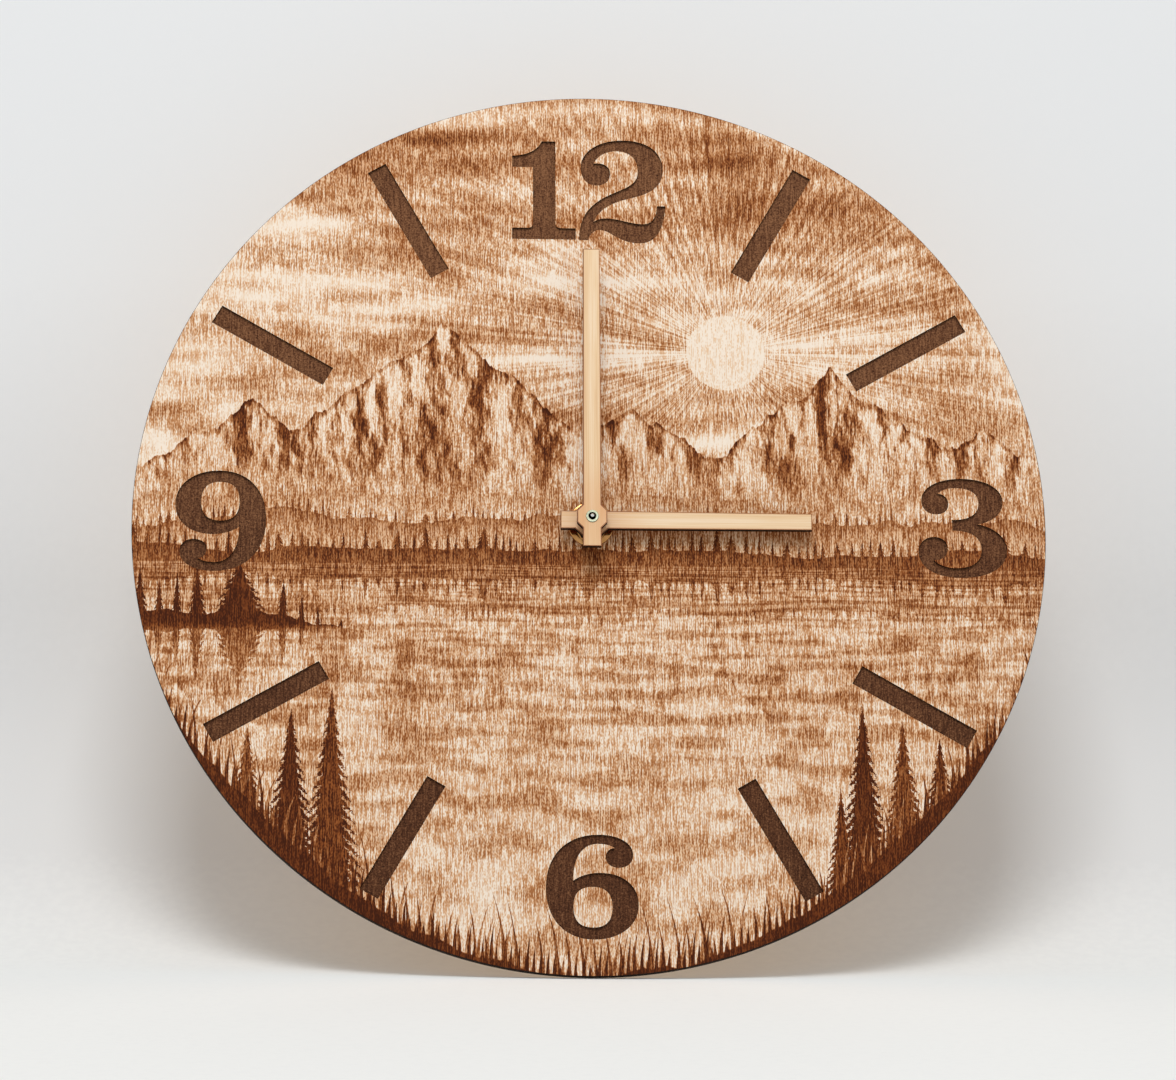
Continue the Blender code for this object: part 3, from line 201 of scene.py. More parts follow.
class Surface(Graph):
    """Node tree of one material, with its position in millimetres."""

    def __init__(self, name: str) -> None:
        """Start an empty material.

        Args:
            name: name of the material.
        """
        self.material = bpy.data.materials.new(name)
        self.material.use_nodes = True
        super().__init__(self.material.node_tree)
        place = self.add("TexCoord", output="Object")
        self.place = self.add("VectorMath", {0: place, 1: (1 / MM,) * 3}, operation="MULTIPLY")

    def split(self, place: Field | None = None) -> tuple[Field, Field]:
        """Position across and up the dial, of a place or else of the surface itself."""
        across = self.add("SeparateXYZ", {0: place or self.place})
        return across, across.part(2)

    def cloud(self, spans: Triple, place: Field | None = None, **sockets: float) -> Field:
        """Noise whose features measure about the given spans.

        Args:
            spans: size of a feature along X, Y and Z, in millimetres.
            place: position in millimetres, which is the surface's own if left out.
            sockets: other inputs of the noise, such as Detail.

        Returns:
            A number of about 0.5 on average.
        """
        shrunk = self.add("VectorMath", {0: place or self.place,
                                         1: tuple(1 / span for span in spans)},
                          operation="MULTIPLY")
        return self.add("TexNoise", {"Vector": shrunk, "Scale": 1.0, **sockets})

    def toned(self, value: Field, tones: Tones) -> Field:
        """Turn a number into a colour.

        Args:
            value: the number.
            tones: positions along it and their sRGB hex colours.

        Returns:
            The colour.
        """
        colour = self.add("ValToRGB", {0: value})
        elements = colour.socket.node.color_ramp.elements
        while len(elements) < len(tones):
            elements.new(0.5)
        for element, (position, tone) in zip(elements, tones):
            element.position = position
            element.color = linear(tone)
        return colour

    def finish(self, sockets: dict, height: Field, relief: float) -> bpy.types.Material:
        """Close the tree with a Principled shader.

        Args:
            sockets: the shader's inputs by name.
            height: height of the surface between zero and one.
            relief: depth in millimetres that a height of one stands for.

        Returns:
            The finished material.
        """
        bump = self.add("Bump", {"Height": height, "Distance": relief * MM})
        shader = self.add("BsdfPrincipled", {**sockets, "Normal": bump})
        self.add("OutputMaterial", {"Surface": shader})
        return self.material


class Finish(Protocol):
    """What every finish of the clock can do."""

    def build(self) -> bpy.types.Material:
        """Make the material."""


class Along(Enum):
    """Size of a wood fibre along X, Y and Z, for a piece whose grain runs up or across.

    Real fibres are about 0.1 mm wide, and these are coarser so that they show.
    """

    UP = (0.34, 0.34, 26.0)
    ACROSS = (26.0, 0.34, 0.34)


@dataclass(frozen=True)
class PaleHandWood:
    """Birch plywood, sanded and left bare: pale and matt, with fine straight grain.

    Smoke from the cut leaves it a little browner along its sides and round the hub.
    """

    name: str
    grain: Along
    tones: Tones = ((0.34, "E0B586"), (0.50, "EDCA9C"), (0.64, "F5DAB8"))
    smoke: str = "DFA26B"
    half_width: float = 3.0
    smoked_side: float = 1.5
    smoked_hub: Point = (3.0, 24.0)
    drift: float = 9.0
    roughness: float = 0.55
    relief: float = 0.04

    def build(self) -> bpy.types.Material:
        """Make the material.

        Returns:
            The finished material.
        """
        surface = Surface(self.name)
        fibres = surface.cloud(self.grain.value, Detail=4.0, Roughness=0.6)
        bands = surface.cloud(tuple(6 * span for span in self.grain.value), Detail=2.0)
        figure = fibres * 0.55 + bands * 0.45
        across, up = surface.split()
        aside = abs(across if self.grain is Along.UP else up)
        side = aside.fade(self.half_width - self.smoked_side, self.half_width + 0.1, 0.0, 0.5)
        smoked = side * surface.cloud((self.drift,) * 3, Detail=2.0)
        smoked = smoked + across.reach(up).fade(*self.smoked_hub, 0.42, 0.0)
        colour = surface.add("Mix", {0: smoked, 6: surface.toned(figure, self.tones),
                                     7: linear(self.smoke)}, 2, data_type="RGBA")
        return surface.finish({"Base Color": colour, "Roughness": self.roughness}, figure,
                              self.relief)


@dataclass(frozen=True)
class LaserChar:
    """Plywood edge as a laser leaves it: near black and matt, with the plies faintly showing."""

    name: str
    ply: float = 1.0
    run: float = 40.0
    soot: Triple = (0.8, 0.25, 0.8)
    roughness: float = 0.7
    relief: float = 0.08
    tones: Tones = ((0.35, "0B0503"), (0.52, "180C06"), (0.66, "36200F"))

    def build(self) -> bpy.types.Material:
        """Make the material.

        Returns:
            The finished material.
        """
        surface = Surface(self.name)
        soot = surface.cloud(self.soot, Detail=5.0, Roughness=0.65)
        layers = surface.cloud((self.run, self.ply, self.run), Detail=1.0)
        figure = soot * 0.55 + layers * 0.45
        return surface.finish({"Base Color": surface.toned(figure, self.tones),
                               "Roughness": self.roughness, "Specular IOR Level": 0.12},
                              figure, self.relief)


@dataclass(frozen=True)
class BurntFloor:
    """Floor of a laser-engraved pocket: dark brown, with the gritty bed that the beam leaves.

    It has painted light: the burn turns out paler towards the top of the dial, as if more light
    fell there.
    """

    name: str = "burnt_pocket_floor"
    grit: Triple = (0.55, 0.55, 0.55)
    fibre: Triple = (0.45, 0.45, 5.0)
    stroke: Triple = (24.0, 24.0, 16.0)
    pit: Triple = (0.7, 0.7, 0.9)
    painted_light_span: float = 140.0
    roughness: float = 0.8
    relief: float = 0.18
    tones: Tones = ((0.30, "2C170B"), (0.50, "583521"), (0.70, "8E6242"))

    def build(self) -> bpy.types.Material:
        """Make the material.

        Returns:
            The finished material.
        """
        surface = Surface(self.name)
        grit = surface.cloud(self.grit, Detail=1.0, Roughness=0.7)
        fibres = surface.cloud(self.fibre, Detail=2.0, Roughness=0.6)
        strokes = surface.cloud(self.stroke, Detail=2.0)
        # Painted light: the floor's burn is eased paler towards the top of the dial, as if lit more
        # there.
        painted_top_light = surface.split()[1].fade(-self.painted_light_span, self.painted_light_span, -0.012, 0.088)
        pits = surface.cloud(self.pit, Detail=0.0).fade(0.66, 0.74, 0.0, 0.12)
        figure = grit * 0.50 + fibres * 0.40 + strokes * 0.10 + painted_top_light - pits
        return surface.finish({"Base Color": surface.toned(figure, self.tones),
                               "Roughness": self.roughness, "Specular IOR Level": 0.1},
                              grit, self.relief)


@dataclass(frozen=True)
class BarePly:
    """Back of the dial: unsanded birch plywood, with broad flame figure, fibres and pores."""

    name: str = "bare_birch_plywood"
    flame: Triple = (34.0, 34.0, 210.0)
    rings: float = 46.0
    fibre: Triple = (0.5, 0.5, 22.0)
    pore: Triple = (0.3, 0.3, 2.6)
    smoked_rim: float = 5.0
    drift: float = 14.0
    roughness: float = 0.6
    relief: float = 0.06
    tones: Tones = ((0.30, "B98652"), (0.48, "D9AE7C"), (0.70, "EECFA4"))

    def build(self) -> bpy.types.Material:
        """Make the material.

        Returns:
            The finished material.
        """
        surface = Surface(self.name)
        flame = surface.cloud(self.flame, Detail=2.0, Distortion=0.4)
        rings = (flame * self.rings).worked("SINE")
        fibres = surface.cloud(self.fibre, Detail=4.0, Roughness=0.65)
        pores = surface.cloud(self.pore, Detail=1.0).fade(0.66, 0.74, 0.0, 0.16)
        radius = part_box("dial")[1].x / MM
        across, up = surface.split()
        rim = across.reach(up).fade(radius - self.smoked_rim, radius, 0.0, 0.30)
        smoke = rim * surface.cloud((self.drift,) * 3, Detail=3.0)
        value = fibres + rings * 0.075 - pores - smoke
        return surface.finish({"Base Color": surface.toned(value, self.tones),
                               "Roughness": self.roughness, "Specular IOR Level": 0.35},
                              value, self.relief)


@dataclass(frozen=True)
class MouldedPlastic:
    """Injection-moulded ABS, acetal or rubber: satin, with the fine spark texture of its mould.

    The real texture is about 0.1 mm, and it is coarser here so that it shows.
    """

    name: str
    colour: str
    shade: str
    roughness: float = 0.42
    texture: float = 0.35
    flow: float = 18.0
    ior: float = 1.53
    relief: float = 0.03

    def build(self) -> bpy.types.Material:
        """Make the material.

        Returns:
            The finished material.
        """
        surface = Surface(self.name)
        spark = surface.cloud((self.texture,) * 3, Detail=3.0, Roughness=0.6)
        flow = surface.cloud((self.flow,) * 3, Detail=2.0)
        colour = surface.toned(flow, ((0.35, self.shade), (0.65, self.colour)))
        dull = spark.spread(self.roughness - 0.08, self.roughness + 0.10)
        return surface.finish({"Base Color": colour, "Roughness": dull, "IOR": self.ior}, spark,
                              self.relief)


@dataclass(frozen=True)
class WorkedMetal:
    """Plated, drawn or rolled metal: fine marks along one direction over a soft mottle.

    The real marks are finer than a tenth of a millimetre, and these are coarser so that they show.
    """

    name: str
    colour: str
    shade: str
    roughness: float
    marks: Triple = (0.15, 0.15, 0.15)
    mottle: float = 2.5
    relief: float = 0.006

    def build(self) -> bpy.types.Material:
        """Make the material.

        Returns:
            The finished material.
        """
        surface = Surface(self.name)
        lines = surface.cloud(self.marks, Detail=4.0, Roughness=0.6)
        mottle = surface.cloud((self.mottle,) * 3, Detail=3.0)
        colour = surface.toned(mottle, ((0.35, self.shade), (0.65, self.colour)))
        dull = lines.spread(max(self.roughness - 0.06, 0.03), self.roughness + 0.08)
        return surface.finish({"Base Color": colour, "Metallic": 1.0, "Roughness": dull}, lines,
                              self.relief)


@dataclass(frozen=True)
class CellSleeve:
    """Shrunk film sleeve on a drawn steel can: a plain body, a pale band and bare steel ends."""

    name: str = "printed_film_sleeve"
    body: str = "34516B"
    band: str = "D8DCDD"
    steel: str = "C9C8C4"
    band_width: float = 9.0
    bare: float = 1.2
    foot: float = 0.2
    edge: float = 0.1
    crease: Triple = (6.0, 0.8, 0.8)
    relief: float = 0.03

    def build(self) -> bpy.types.Material:
        """Make the material.

        Returns:
            The finished material.
        """
        surface = Surface(self.name)
        low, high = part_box("battery_cell")
        along = surface.split()[0]
        shoulder, foot = high.x / MM - self.bare, low.x / MM + self.foot
        band = shoulder - self.band_width
        metal = along.fade(shoulder - self.edge, shoulder).worked(
            "MAXIMUM", along.fade(foot, foot + self.edge, 1.0, 0.0))
        colour = linear(self.body)
        for mask, over in ((along.fade(band - self.edge, band), self.band), (metal, self.steel)):
            colour = surface.add("Mix", {0: mask, 6: colour, 7: linear(over)}, 2,
                                 data_type="RGBA")
        creases = surface.cloud(self.crease, Detail=3.0)
        return surface.finish({"Base Color": colour, "Metallic": metal,
                               "Roughness": creases.spread(0.22, 0.36)}, creases, self.relief)


@dataclass(frozen=True)
class Peak:
    """A mountain top on the dial, in millimetres from the hands' axis."""

    across: float
    height: float
    slope: float


@dataclass(frozen=True)
class Spot:
    """Where a motif is looked up on the dial, and the material that it is drawn in."""

    surface: Surface
    place: Field
    across: Field
    up: Field


@dataclass(frozen=True)
class Wander:
    """A line that wanders across the dial and keeps within about the swing of its level."""

    span: float
    seed: float
    swing: float
    level: float = 0.0
    detail: float = 4.0

    def line(self, at: Spot) -> Field:
        """Height of the line."""
        noise = at.surface.add("TexNoise", {"W": at.across / self.span + self.seed, "Scale": 1.0,
                                            "Detail": self.detail, "Roughness": 0.55},
                               noise_dimensions="1D")
        return (noise - 0.5) * (2 * self.swing) + self.level


@dataclass(frozen=True)
class Relief:
    """Light and shade of a rough slope, from the fall of a noise along an offset."""

    spans: Triple
    offset: Triple
    detail: float
    strength: float

    def shade(self, at: Spot) -> Field:
        """Burn that the shade adds or the light takes away.

        Args:
            at: point of the dial.

        Returns:
            A number of about zero on average.
        """
        shifted = at.surface.add("VectorMath", {0: at.place, 1: self.offset}, operation="ADD")
        here, there = [at.surface.cloud(self.spans, place, Detail=self.detail, Roughness=0.6)
                       for place in (at.place, shifted)]
        return (there - here) * self.strength


def scattered(at: Spot, cell: Field, spacing: float, stray: float) -> tuple[Field, Field]:
    """Stand one plant in each cell of a row, a little off the cell's middle.

    Args:
        at: point of the dial.
        cell: place along the row, counted in cells.
        spacing: width of a cell, in millimetres.
        stray: share of the cell that the plants are spread over.

    Returns:
        The plant's own random number, and the distance from its stem in millimetres.
    """
    chance = at.surface.add("TexWhiteNoise", {"W": cell.worked("FLOOR")}, noise_dimensions="1D")
    stem = chance * stray + (1.0 - stray) / 2
    return chance, abs(cell.worked("FRACT") - stem) * spacing


def boughs(at: Spot, aside: Field, down: Field, tier: float, flare: float) -> Field:
    """Outline of a pine whose boughs droop in ragged tiers.

    Args:
        at: point of the dial.
        aside: distance from the trunk, in millimetres.
        down: distance below the tip, in millimetres.
        tier: height of a tier of boughs, in millimetres.
        flare: half of the tree's width as a share of its height.

    Returns:
        One inside the tree, zero outside.
    """
    ragged = at.surface.cloud((0.9, 0.9, 0.7), at.place, Detail=2.0)
    phase = ((down - aside * 0.7) / tier + ragged * 1.2).worked("FRACT") * 0.6 + 0.5
    return (down * phase * flare - aside + ragged * 0.3 - 0.15).fade(-0.1, 0.1)


@dataclass(frozen=True)
class Pines:
    """A row of pines, with sizes in millimetres and one tree for each stretch of the spacing."""

    spacing: float
    seed: float
    tall: float
    tier: float

    def mask(self, at: Spot, base: Field, grown: Field | float = 1.0) -> Field:
        """One inside a tree or below its foot, zero outside.

        Args:
            at: point of the dial.
            base: height that the trees stand on.
            grown: share of their full height.

        Returns:
            The row's mask.
        """
        drift = at.surface.add("TexNoise", {"W": at.across / (4.0 * self.spacing) + self.seed,
                                            "Scale": 1.0, "Detail": 0.0}, noise_dimensions="1D")
        cell = at.across / self.spacing + self.seed + drift * 3.0
        chance, aside = scattered(at, cell, self.spacing, 0.24)
        down = (chance * 0.55 + 0.45) * self.tall * grown - (at.up - base)
        tree = boughs(at, aside, down, self.tier, 0.44 * self.spacing / self.tall)
        return tree.worked("MAXIMUM", (base - at.up).fade(-0.2, 0.1))


@dataclass(frozen=True)
class WoodedRidge:
    """A ridge with pines along it, and its burn at the crest and far below it."""

    crest: Wander
    pines: Pines
    dark: float
    light: float


@dataclass(frozen=True)
class Pine:
    """One large pine, with its place and size in millimetres."""

    across: float
    tip: float
    flare: float
    tier: float
    burn: float

    def mask(self, at: Spot) -> Field:
        """One inside the tree, zero outside."""
        return boughs(at, abs(at.across - self.across), self.tip - at.up, self.tier, self.flare)


@dataclass(frozen=True)
class Reeds:
    """Thin blades that stand along the near shore, in millimetres, and their burn."""

    spacing: float
    seed: float
    tall: float
    lean: float
    burn: float

    def mask(self, at: Spot, base: Field) -> Field:
        """One inside a blade, zero outside.

        Args:
            at: point of the dial.
            base: height that they stand on.

        Returns:
            The mask of all the blades.
        """
        above = at.up - base
        bent = at.across - above * above * (self.lean / self.tall)
        chance, aside = scattered(at, bent / self.spacing + self.seed, self.spacing, 0.4)
        height = (chance * 0.75 + 0.25) * self.tall
        room = (1.0 - above / height) * 0.62 - aside
        return room.fade(-0.08, 0.08)


class EngravedLandscape:
    """Laser-engraved picture on the dial's birch plywood: mountains and pines round a lake.

    It is a design of its own. Each motif works on a burn between zero, bare wood, and one, char.
    The beam burns the soft early wood deeper, so the tones break up into fine upright lines.
    """

    SUN = (45.0, 60.0)
    SUN_RADIUS = 13.0
    CLOUDS = Relief((74.0, 74.0, 24.0), (2.5, 0.0, 3.4), 2.0, 1.7)
    PEAKS = (Peak(-50.0, 68.0, 0.78), Peak(12.0, 40.0, 0.60), Peak(80.0, 52.0, 0.70),
             Peak(-112.0, 40.0, 0.60), Peak(130.0, 34.0, 0.60))
    SADDLE = 6.0
    CRAGS = Wander(17.0, 3.0, 9.0, detail=6.0)
    SLOPES = (Relief((24.0, 24.0, 44.0), (3.2, 0.0, 1.2), 3.0, 2.4),
              Relief((5.5, 5.5, 13.0), (0.7, 0.0, 0.3), 4.0, 1.5))
    MIST_TOP = 30.0
    RIDGES = (WoodedRidge(Wander(52.0, 11.3, 10.0, 9.0), Pines(1.7, 3.1, 3.4, 0.8), 0.42, 0.20),
              WoodedRidge(Wander(44.0, 29.7, 8.0, 1.5), Pines(2.4, 7.7, 5.0, 1.0), 0.66, 0.32),
              WoodedRidge(Wander(60.0, 47.2, 5.0, -9.0), Pines(3.4, 1.9, 8.0, 1.3), 0.84, 0.62))
    RIDGE_DEPTH = 9.0
    SHORE = -14.0
    HEADLAND = -34.0
    HEADLAND_ENDS = (-112.0, -62.0)
    HEADLAND_TOP = Wander(12.0, 63.1, 2.5, -38.0)
    HEADLAND_PINES = Pines(8.5, 5.3, 19.0, 2.2)
    BANK = Wander(16.0, 71.4, 3.0, -150.0)
    BANK_CURVE = 0.0046
    REEDS = (Reeds(3.1, 4.4, 20.0, 0.22, 0.55), Reeds(4.3, 9.2, 25.0, -0.20, 0.75),
             Reeds(2.3, 1.7, 13.0, 0.10, 0.92))
    PINES = (Pine(-111.0, -69.0, 0.20, 2.4, 0.74), Pine(-84.0, -56.0, 0.17, 3.2, 0.80),
             Pine(-97.0, -63.0, 0.19, 2.9, 0.90), Pine(113.0, -71.0, 0.21, 2.4, 0.90),
             Pine(88.0, -60.0, 0.17, 3.3, 0.92), Pine(101.0, -65.0, 0.18, 2.9, 0.78),
             Pine(80.5, -88.0, 0.17, 2.3, 0.84))
    TONES = ((0.00, "FBEBD8"), (0.10, "EECBA5"), (0.22, "E1B189"), (0.36, "C58A59"),
             (0.60, "935326"), (0.84, "622D10"), (1.00, "411B07"))

    def __init__(self) -> None:
        """Start the material."""
        self.surface = Surface("engraved_birch_plywood")

    def spot(self, place: Field) -> Spot:
        """Point of the dial at a place."""
        return Spot(self.surface, place, *self.surface.split(place))

    def sky(self, at: Spot) -> Field:
        """Graded sky with soft clouds, a pale sun and its fine rays.

        Args:
            at: point of the dial.

        Returns:
            The sky's burn.
        """
        bank = self.surface.cloud(self.CLOUDS.spans, at.place, Detail=3.0, Roughness=0.5,
                                  Distortion=0.4)
        burn = at.up.fade(30.0, 150.0, 0.22, 0.40) + self.CLOUDS.shade(at)
        burn = burn - bank.fade(0.46, 0.66, -0.03, 0.20)
        across, up = at.across - self.SUN[0], at.up - self.SUN[1]
        distance = across.reach(up)
        rays = self.surface.add("TexNoise", {"W": up.worked("ARCTAN2", across), "Scale": 26.0,
                                             "Detail": 2.0, "Roughness": 0.6},
                                noise_dimensions="1D")
        rays = rays.fade(0.38, 0.62, -0.10, 0.11) * distance.fade(self.SUN_RADIUS, 130.0, 1.0, 0.4)
        burn = burn + rays - distance.fade(self.SUN_RADIUS, 58.0, 0.08, 0.0)
        sun = distance.fade(self.SUN_RADIUS - 0.3, self.SUN_RADIUS + 0.3, 1.0, 0.0)
        return burn.covered(-0.06, sun)

    def mountains(self, under: Field, at: Spot) -> Field:
        """Snowy peaks whose rock shows through, fading into mist below.

        Args:
            under: burn of what lies behind.
            at: point of the dial.

        Returns:
            The burn with the mountains on it.
        """
        crest, *others = [peak.height - abs(at.across - peak.across) * peak.slope
                          for peak in self.PEAKS]
        for other in others:
            crest = crest.worked("SMOOTH_MAX", other, self.SADDLE)
        depth = crest + self.CRAGS.line(at) - at.up
        slope = self.SLOPES[0].shade(at) + self.SLOPES[1].shade(at)
        rock = slope.fade(-0.30, 0.14, 0.80, 0.06) + depth.fade(6.0, 40.0, 0.0, 0.20)
        rock = rock + depth.fade(0.4, 2.4, 0.26, 0.0)
        tone = rock.covered(0.20, at.up.fade(0.0, self.MIST_TOP, 1.0, 0.0))
        return under.covered(tone, depth.fade(-0.15, 0.25))

    def hills(self, under: Field, at: Spot, first: int) -> Field:
        """Wooded ridges in front of the mountains, each darker than the one behind.

        Args:
            under: burn of what lies behind.
            at: point of the dial.
            first: first ridge to draw, counted from the back.

        Returns:
            The burn with the ridges on it.
        """
        for ridge in self.RIDGES[first:]:
            crest = ridge.crest.line(at)
            tone = (crest - at.up).fade(-ridge.pines.tall, self.RIDGE_DEPTH, ridge.dark,
                                        ridge.light)
            under = under.covered(tone, ridge.pines.mask(at, crest))
        return under

    def lake(self, under: Field, at: Spot) -> Field:
        """Water that mirrors the far shore, with ripples that widen towards the front.

        Args:
            under: burn of what lies behind.
            at: point of the dial.

        Returns:
            The burn with the lake on it.
        """
        near = self.SHORE - at.up
        rows = (near + 5.0).worked("MAXIMUM", 0.5).worked("LOGARITHM", math.e) * 13.0
        flow = self.surface.add("CombineXYZ", {0: at.across * 0.045, 1: rows})
        ripple = self.surface.add("TexNoise", {"Vector": flow, "Scale": 1.0, "Detail": 1.0,
                                               "Roughness": 0.4}, noise_dimensions="2D")
        sway = (ripple - 0.5) * near.fade(0.0, 60.0, 1.0, 6.0)
        mirror = self.spot(self.surface.add("CombineXYZ", {0: at.across + sway * 0.5,
                                                           2: near + self.SHORE + sway}))
        image = self.hills(self.mountains(self.sky(mirror), mirror), mirror, 1)
        water = image.covered(0.21, near.fade(0.0, 70.0, 0.30, 0.92))
        water = water + ripple.fade(0.38, 0.68, -0.06, 0.15) - near.fade(60.0, 110.0, 0.0, 0.05)
        return under.covered(water, near.fade(-0.2, 0.2))

    def headland(self, under: Field, at: Spot) -> Field:
        """Spit of land from the left rim, with dark pines and their image in the water.

        Args:
            under: burn of what lies behind.
            at: point of the dial.

        Returns:
            The burn with the headland on it.
        """
        reach = at.across.fade(*self.HEADLAND_ENDS, 1.0, 0.0)
        low = self.HEADLAND - at.up
        top = reach * 7.0 + self.HEADLAND_TOP.line(at)
        image = self.spot(self.surface.add("CombineXYZ", {0: at.across, 2: low + self.HEADLAND}))
        below = self.HEADLAND_PINES.mask(image, top, reach) * low.fade(0.0, 34.0, 1.0, 0.3)
        under = under.covered(0.62, below * low.fade(-0.2, 0.2) * reach.fade(0.0, 0.1))
        above = self.HEADLAND_PINES.mask(at, top, reach) * low.fade(-0.2, 4.0, 1.0, 0.0)
        return under.covered(0.93, above * reach.fade(0.0, 0.08))

    def near_bank(self, under: Field, at: Spot) -> Field:
        """Dark bank along the lower rim, with pines at its sides and reeds along it.

        Args:
            under: burn of what lies behind.
            at: point of the dial.

        Returns:
            The burn with the bank on it.
        """
        foot = at.across * at.across * self.BANK_CURVE + self.BANK.line(at)
        for pine in self.PINES:
            under = under.covered(pine.burn, pine.mask(at))
        for reeds in self.REEDS:
            under = under.covered(reeds.burn, reeds.mask(at, foot))
        return under.covered(0.94, (foot - at.up).fade(-0.3, 0.3))

    def build(self) -> bpy.types.Material:
        """Lay the motifs over each other, add the grain and turn the burn into colour.

        Returns:
            The finished material.
        """
        at = self.spot(self.surface.place)
        burn = self.hills(self.mountains(self.sky(at), at), at, 0)
        for motif in (self.lake, self.headland, self.near_bank):
            burn = motif(burn, at)
        fine = self.surface.cloud((0.28, 0.28, 4.5), Detail=0.0)
        long = self.surface.cloud((0.36, 0.36, 20.0), Detail=1.0, Roughness=0.6)
        grit = self.surface.cloud((0.30, 0.30, 0.8), Detail=0.0)
        lines = (fine * 0.44 + long * 0.24 + grit * 0.32).fade(0.37, 0.63, -1.0, 1.0)
        strength = (burn * (1.0 - burn)).fade(0.0, 0.25, 0.16, 0.25)
        mottle = self.surface.cloud((26.0, 26.0, 70.0), Detail=2.0).spread(-0.05, 0.05)
        burn = burn + lines * strength + mottle
        colour = self.surface.toned(burn, self.TONES)
        return self.surface.finish({"Base Color": colour, "Roughness": 0.7,
                                    "Specular IOR Level": 0.1}, lines, 0.03)


Step = tuple[float, ...]


@dataclass(frozen=True)
class Outline:
    """Closed outline of lines and curves, in millimetres on the dial.

    A step of two numbers is a line to a point, and one of six is a curve: its two handles and
    the point that it ends at.
    """

    start: Point
    steps: tuple[Step, ...]

    def turned(self, middle: Point, place: Point) -> "Outline":
        """Turn the outline half round and move it.

        Args:
            middle: point that it turns about.
            place: point that its middle moves to.

        Returns:
            The new outline.
        """
        total = [middle[axis] + place[axis] for axis in (0, 1)]
        start, *steps = [tuple(total[index % 2] - number for index, number in enumerate(numbers))
                         for numbers in (self.start, *self.steps)]
        return Outline(start, tuple(steps))

    def draw(self, curve: bpy.types.Curve) -> None:
        """Add the outline to a curve as one closed spline.

        Args:
            curve: flat curve that takes it.
        """
        knots: list[list[Point | None]] = [[None, self.start, None]]
        for step in self.steps:
            if len(step) == 2:
                knots.append([None, step, None])
            else:
                knots[-1][2] = step[0:2]
                knots.append([step[2:4], step[4:6], None])
        if knots[-1][1] == self.start:
            knots[0][0] = knots.pop()[0]
        spline = curve.splines.new("BEZIER")
        spline.bezier_points.add(len(knots) - 1)
        spline.use_cyclic_u = True
        for index, (before, at, after) in enumerate(knots):
            point = spline.bezier_points[index]
            point.handle_left_type = point.handle_right_type = "FREE"
            last, following = knots[index - 1][1], knots[(index + 1) % len(knots)][1]
            point.co = (at[0] * MM, at[1] * MM, 0.0)
            left = before or tuple((2 * a + b) / 3 for a, b in zip(at, last))
            right = after or tuple((2 * a + b) / 3 for a, b in zip(at, following))
            point.handle_left = (left[0] * MM, left[1] * MM, 0.0)
            point.handle_right = (right[0] * MM, right[1] * MM, 0.0)


ONE = Outline((-26.0, 129.0), (
    (-23.0, 129.1, -17.9, 130.0, -16.1, 134.3), (-11.5, 134.3), (-11.5, 105.2),
    (-11.5, 103.8, -10.9, 103.3, -9.5, 103.3), (-4.7, 103.3), (-4.7, 99.3), (-26.0, 99.3),
    (-26.0, 103.3), (-21.0, 103.3), (-19.6, 103.3, -19.0, 103.8, -19.0, 105.2), (-19.0, 125.0),
    (-26.0, 125.0)))
TWO = Outline((-3.6, 99.2), (
    (-0.5, 99.2), (0.0, 101.4, 1.4, 102.9, 3.2, 102.9), (7.0, 102.9, 9.5, 98.3, 16.6, 98.3),
    (21.8, 98.3, 24.8, 102.6, 25.4, 111.6), (22.6, 111.6), (22.3, 107.4, 20.9, 105.1, 17.6, 105.1),
    (14.0, 105.1, 9.4, 107.0, 5.6, 107.0), (3.9, 107.0, 2.4, 106.6, 1.3, 105.7),
    (3.2, 110.6, 8.0, 112.8, 13.4, 114.2), (20.6, 116.0, 24.6, 118.6, 24.6, 124.6),
    (24.6, 131.0, 19.6, 135.0, 11.4, 135.0), (2.8, 135.0, -3.0, 130.8, -3.0, 125.0),
    (-3.0, 121.2, -0.8, 118.7, 2.2, 118.7), (5.0, 118.7, 6.9, 120.4, 6.9, 123.0),
    (6.9, 125.6, 4.8, 127.0, 1.4, 126.6), (2.6, 129.4, 5.6, 131.1, 9.0, 131.1),
    (13.4, 131.1, 16.2, 128.6, 16.2, 124.0), (16.2, 119.6, 13.0, 118.3, 8.6, 116.3),
    (1.4, 113.1, -3.6, 109.0, -3.6, 99.2)))
THREE = Outline((109.1, 9.5), (
    (109.1, 14.0, 114.6, 17.1, 122.6, 17.1), (130.6, 17.1, 136.0, 14.0, 136.0, 9.3),
    (136.0, 5.2, 132.6, 2.4, 127.6, 1.5), (132.6, 0.5, 137.0, -2.4, 137.0, -7.3),
    (137.0, -13.2, 131.0, -16.9, 121.6, -16.9), (112.6, -16.9, 107.8, -13.2, 107.8, -8.2),
    (107.8, -5.0, 110.0, -3.0, 113.0, -3.0), (115.8, -3.0, 117.4, -4.6, 117.4, -7.0),
    (117.4, -9.6, 115.6, -11.0, 112.7, -10.9), (114.4, -12.6, 117.0, -13.6, 120.0, -13.6),
    (125.4, -13.6, 128.6, -11.4, 128.6, -7.2), (128.6, -2.8, 125.2, -0.7, 119.1, -0.7),
    (119.1, 2.9), (125.0, 2.9, 128.0, 5.0, 128.0, 8.8), (128.0, 12.0, 125.4, 13.9, 120.4, 13.9),
    (118.0, 13.9, 115.9, 13.2, 114.5, 11.9), (116.6, 11.8, 118.0, 10.4, 118.0, 8.4),
    (118.0, 6.1, 116.4, 4.8, 113.8, 4.8), (111.0, 4.8, 109.1, 6.6, 109.1, 9.5)))
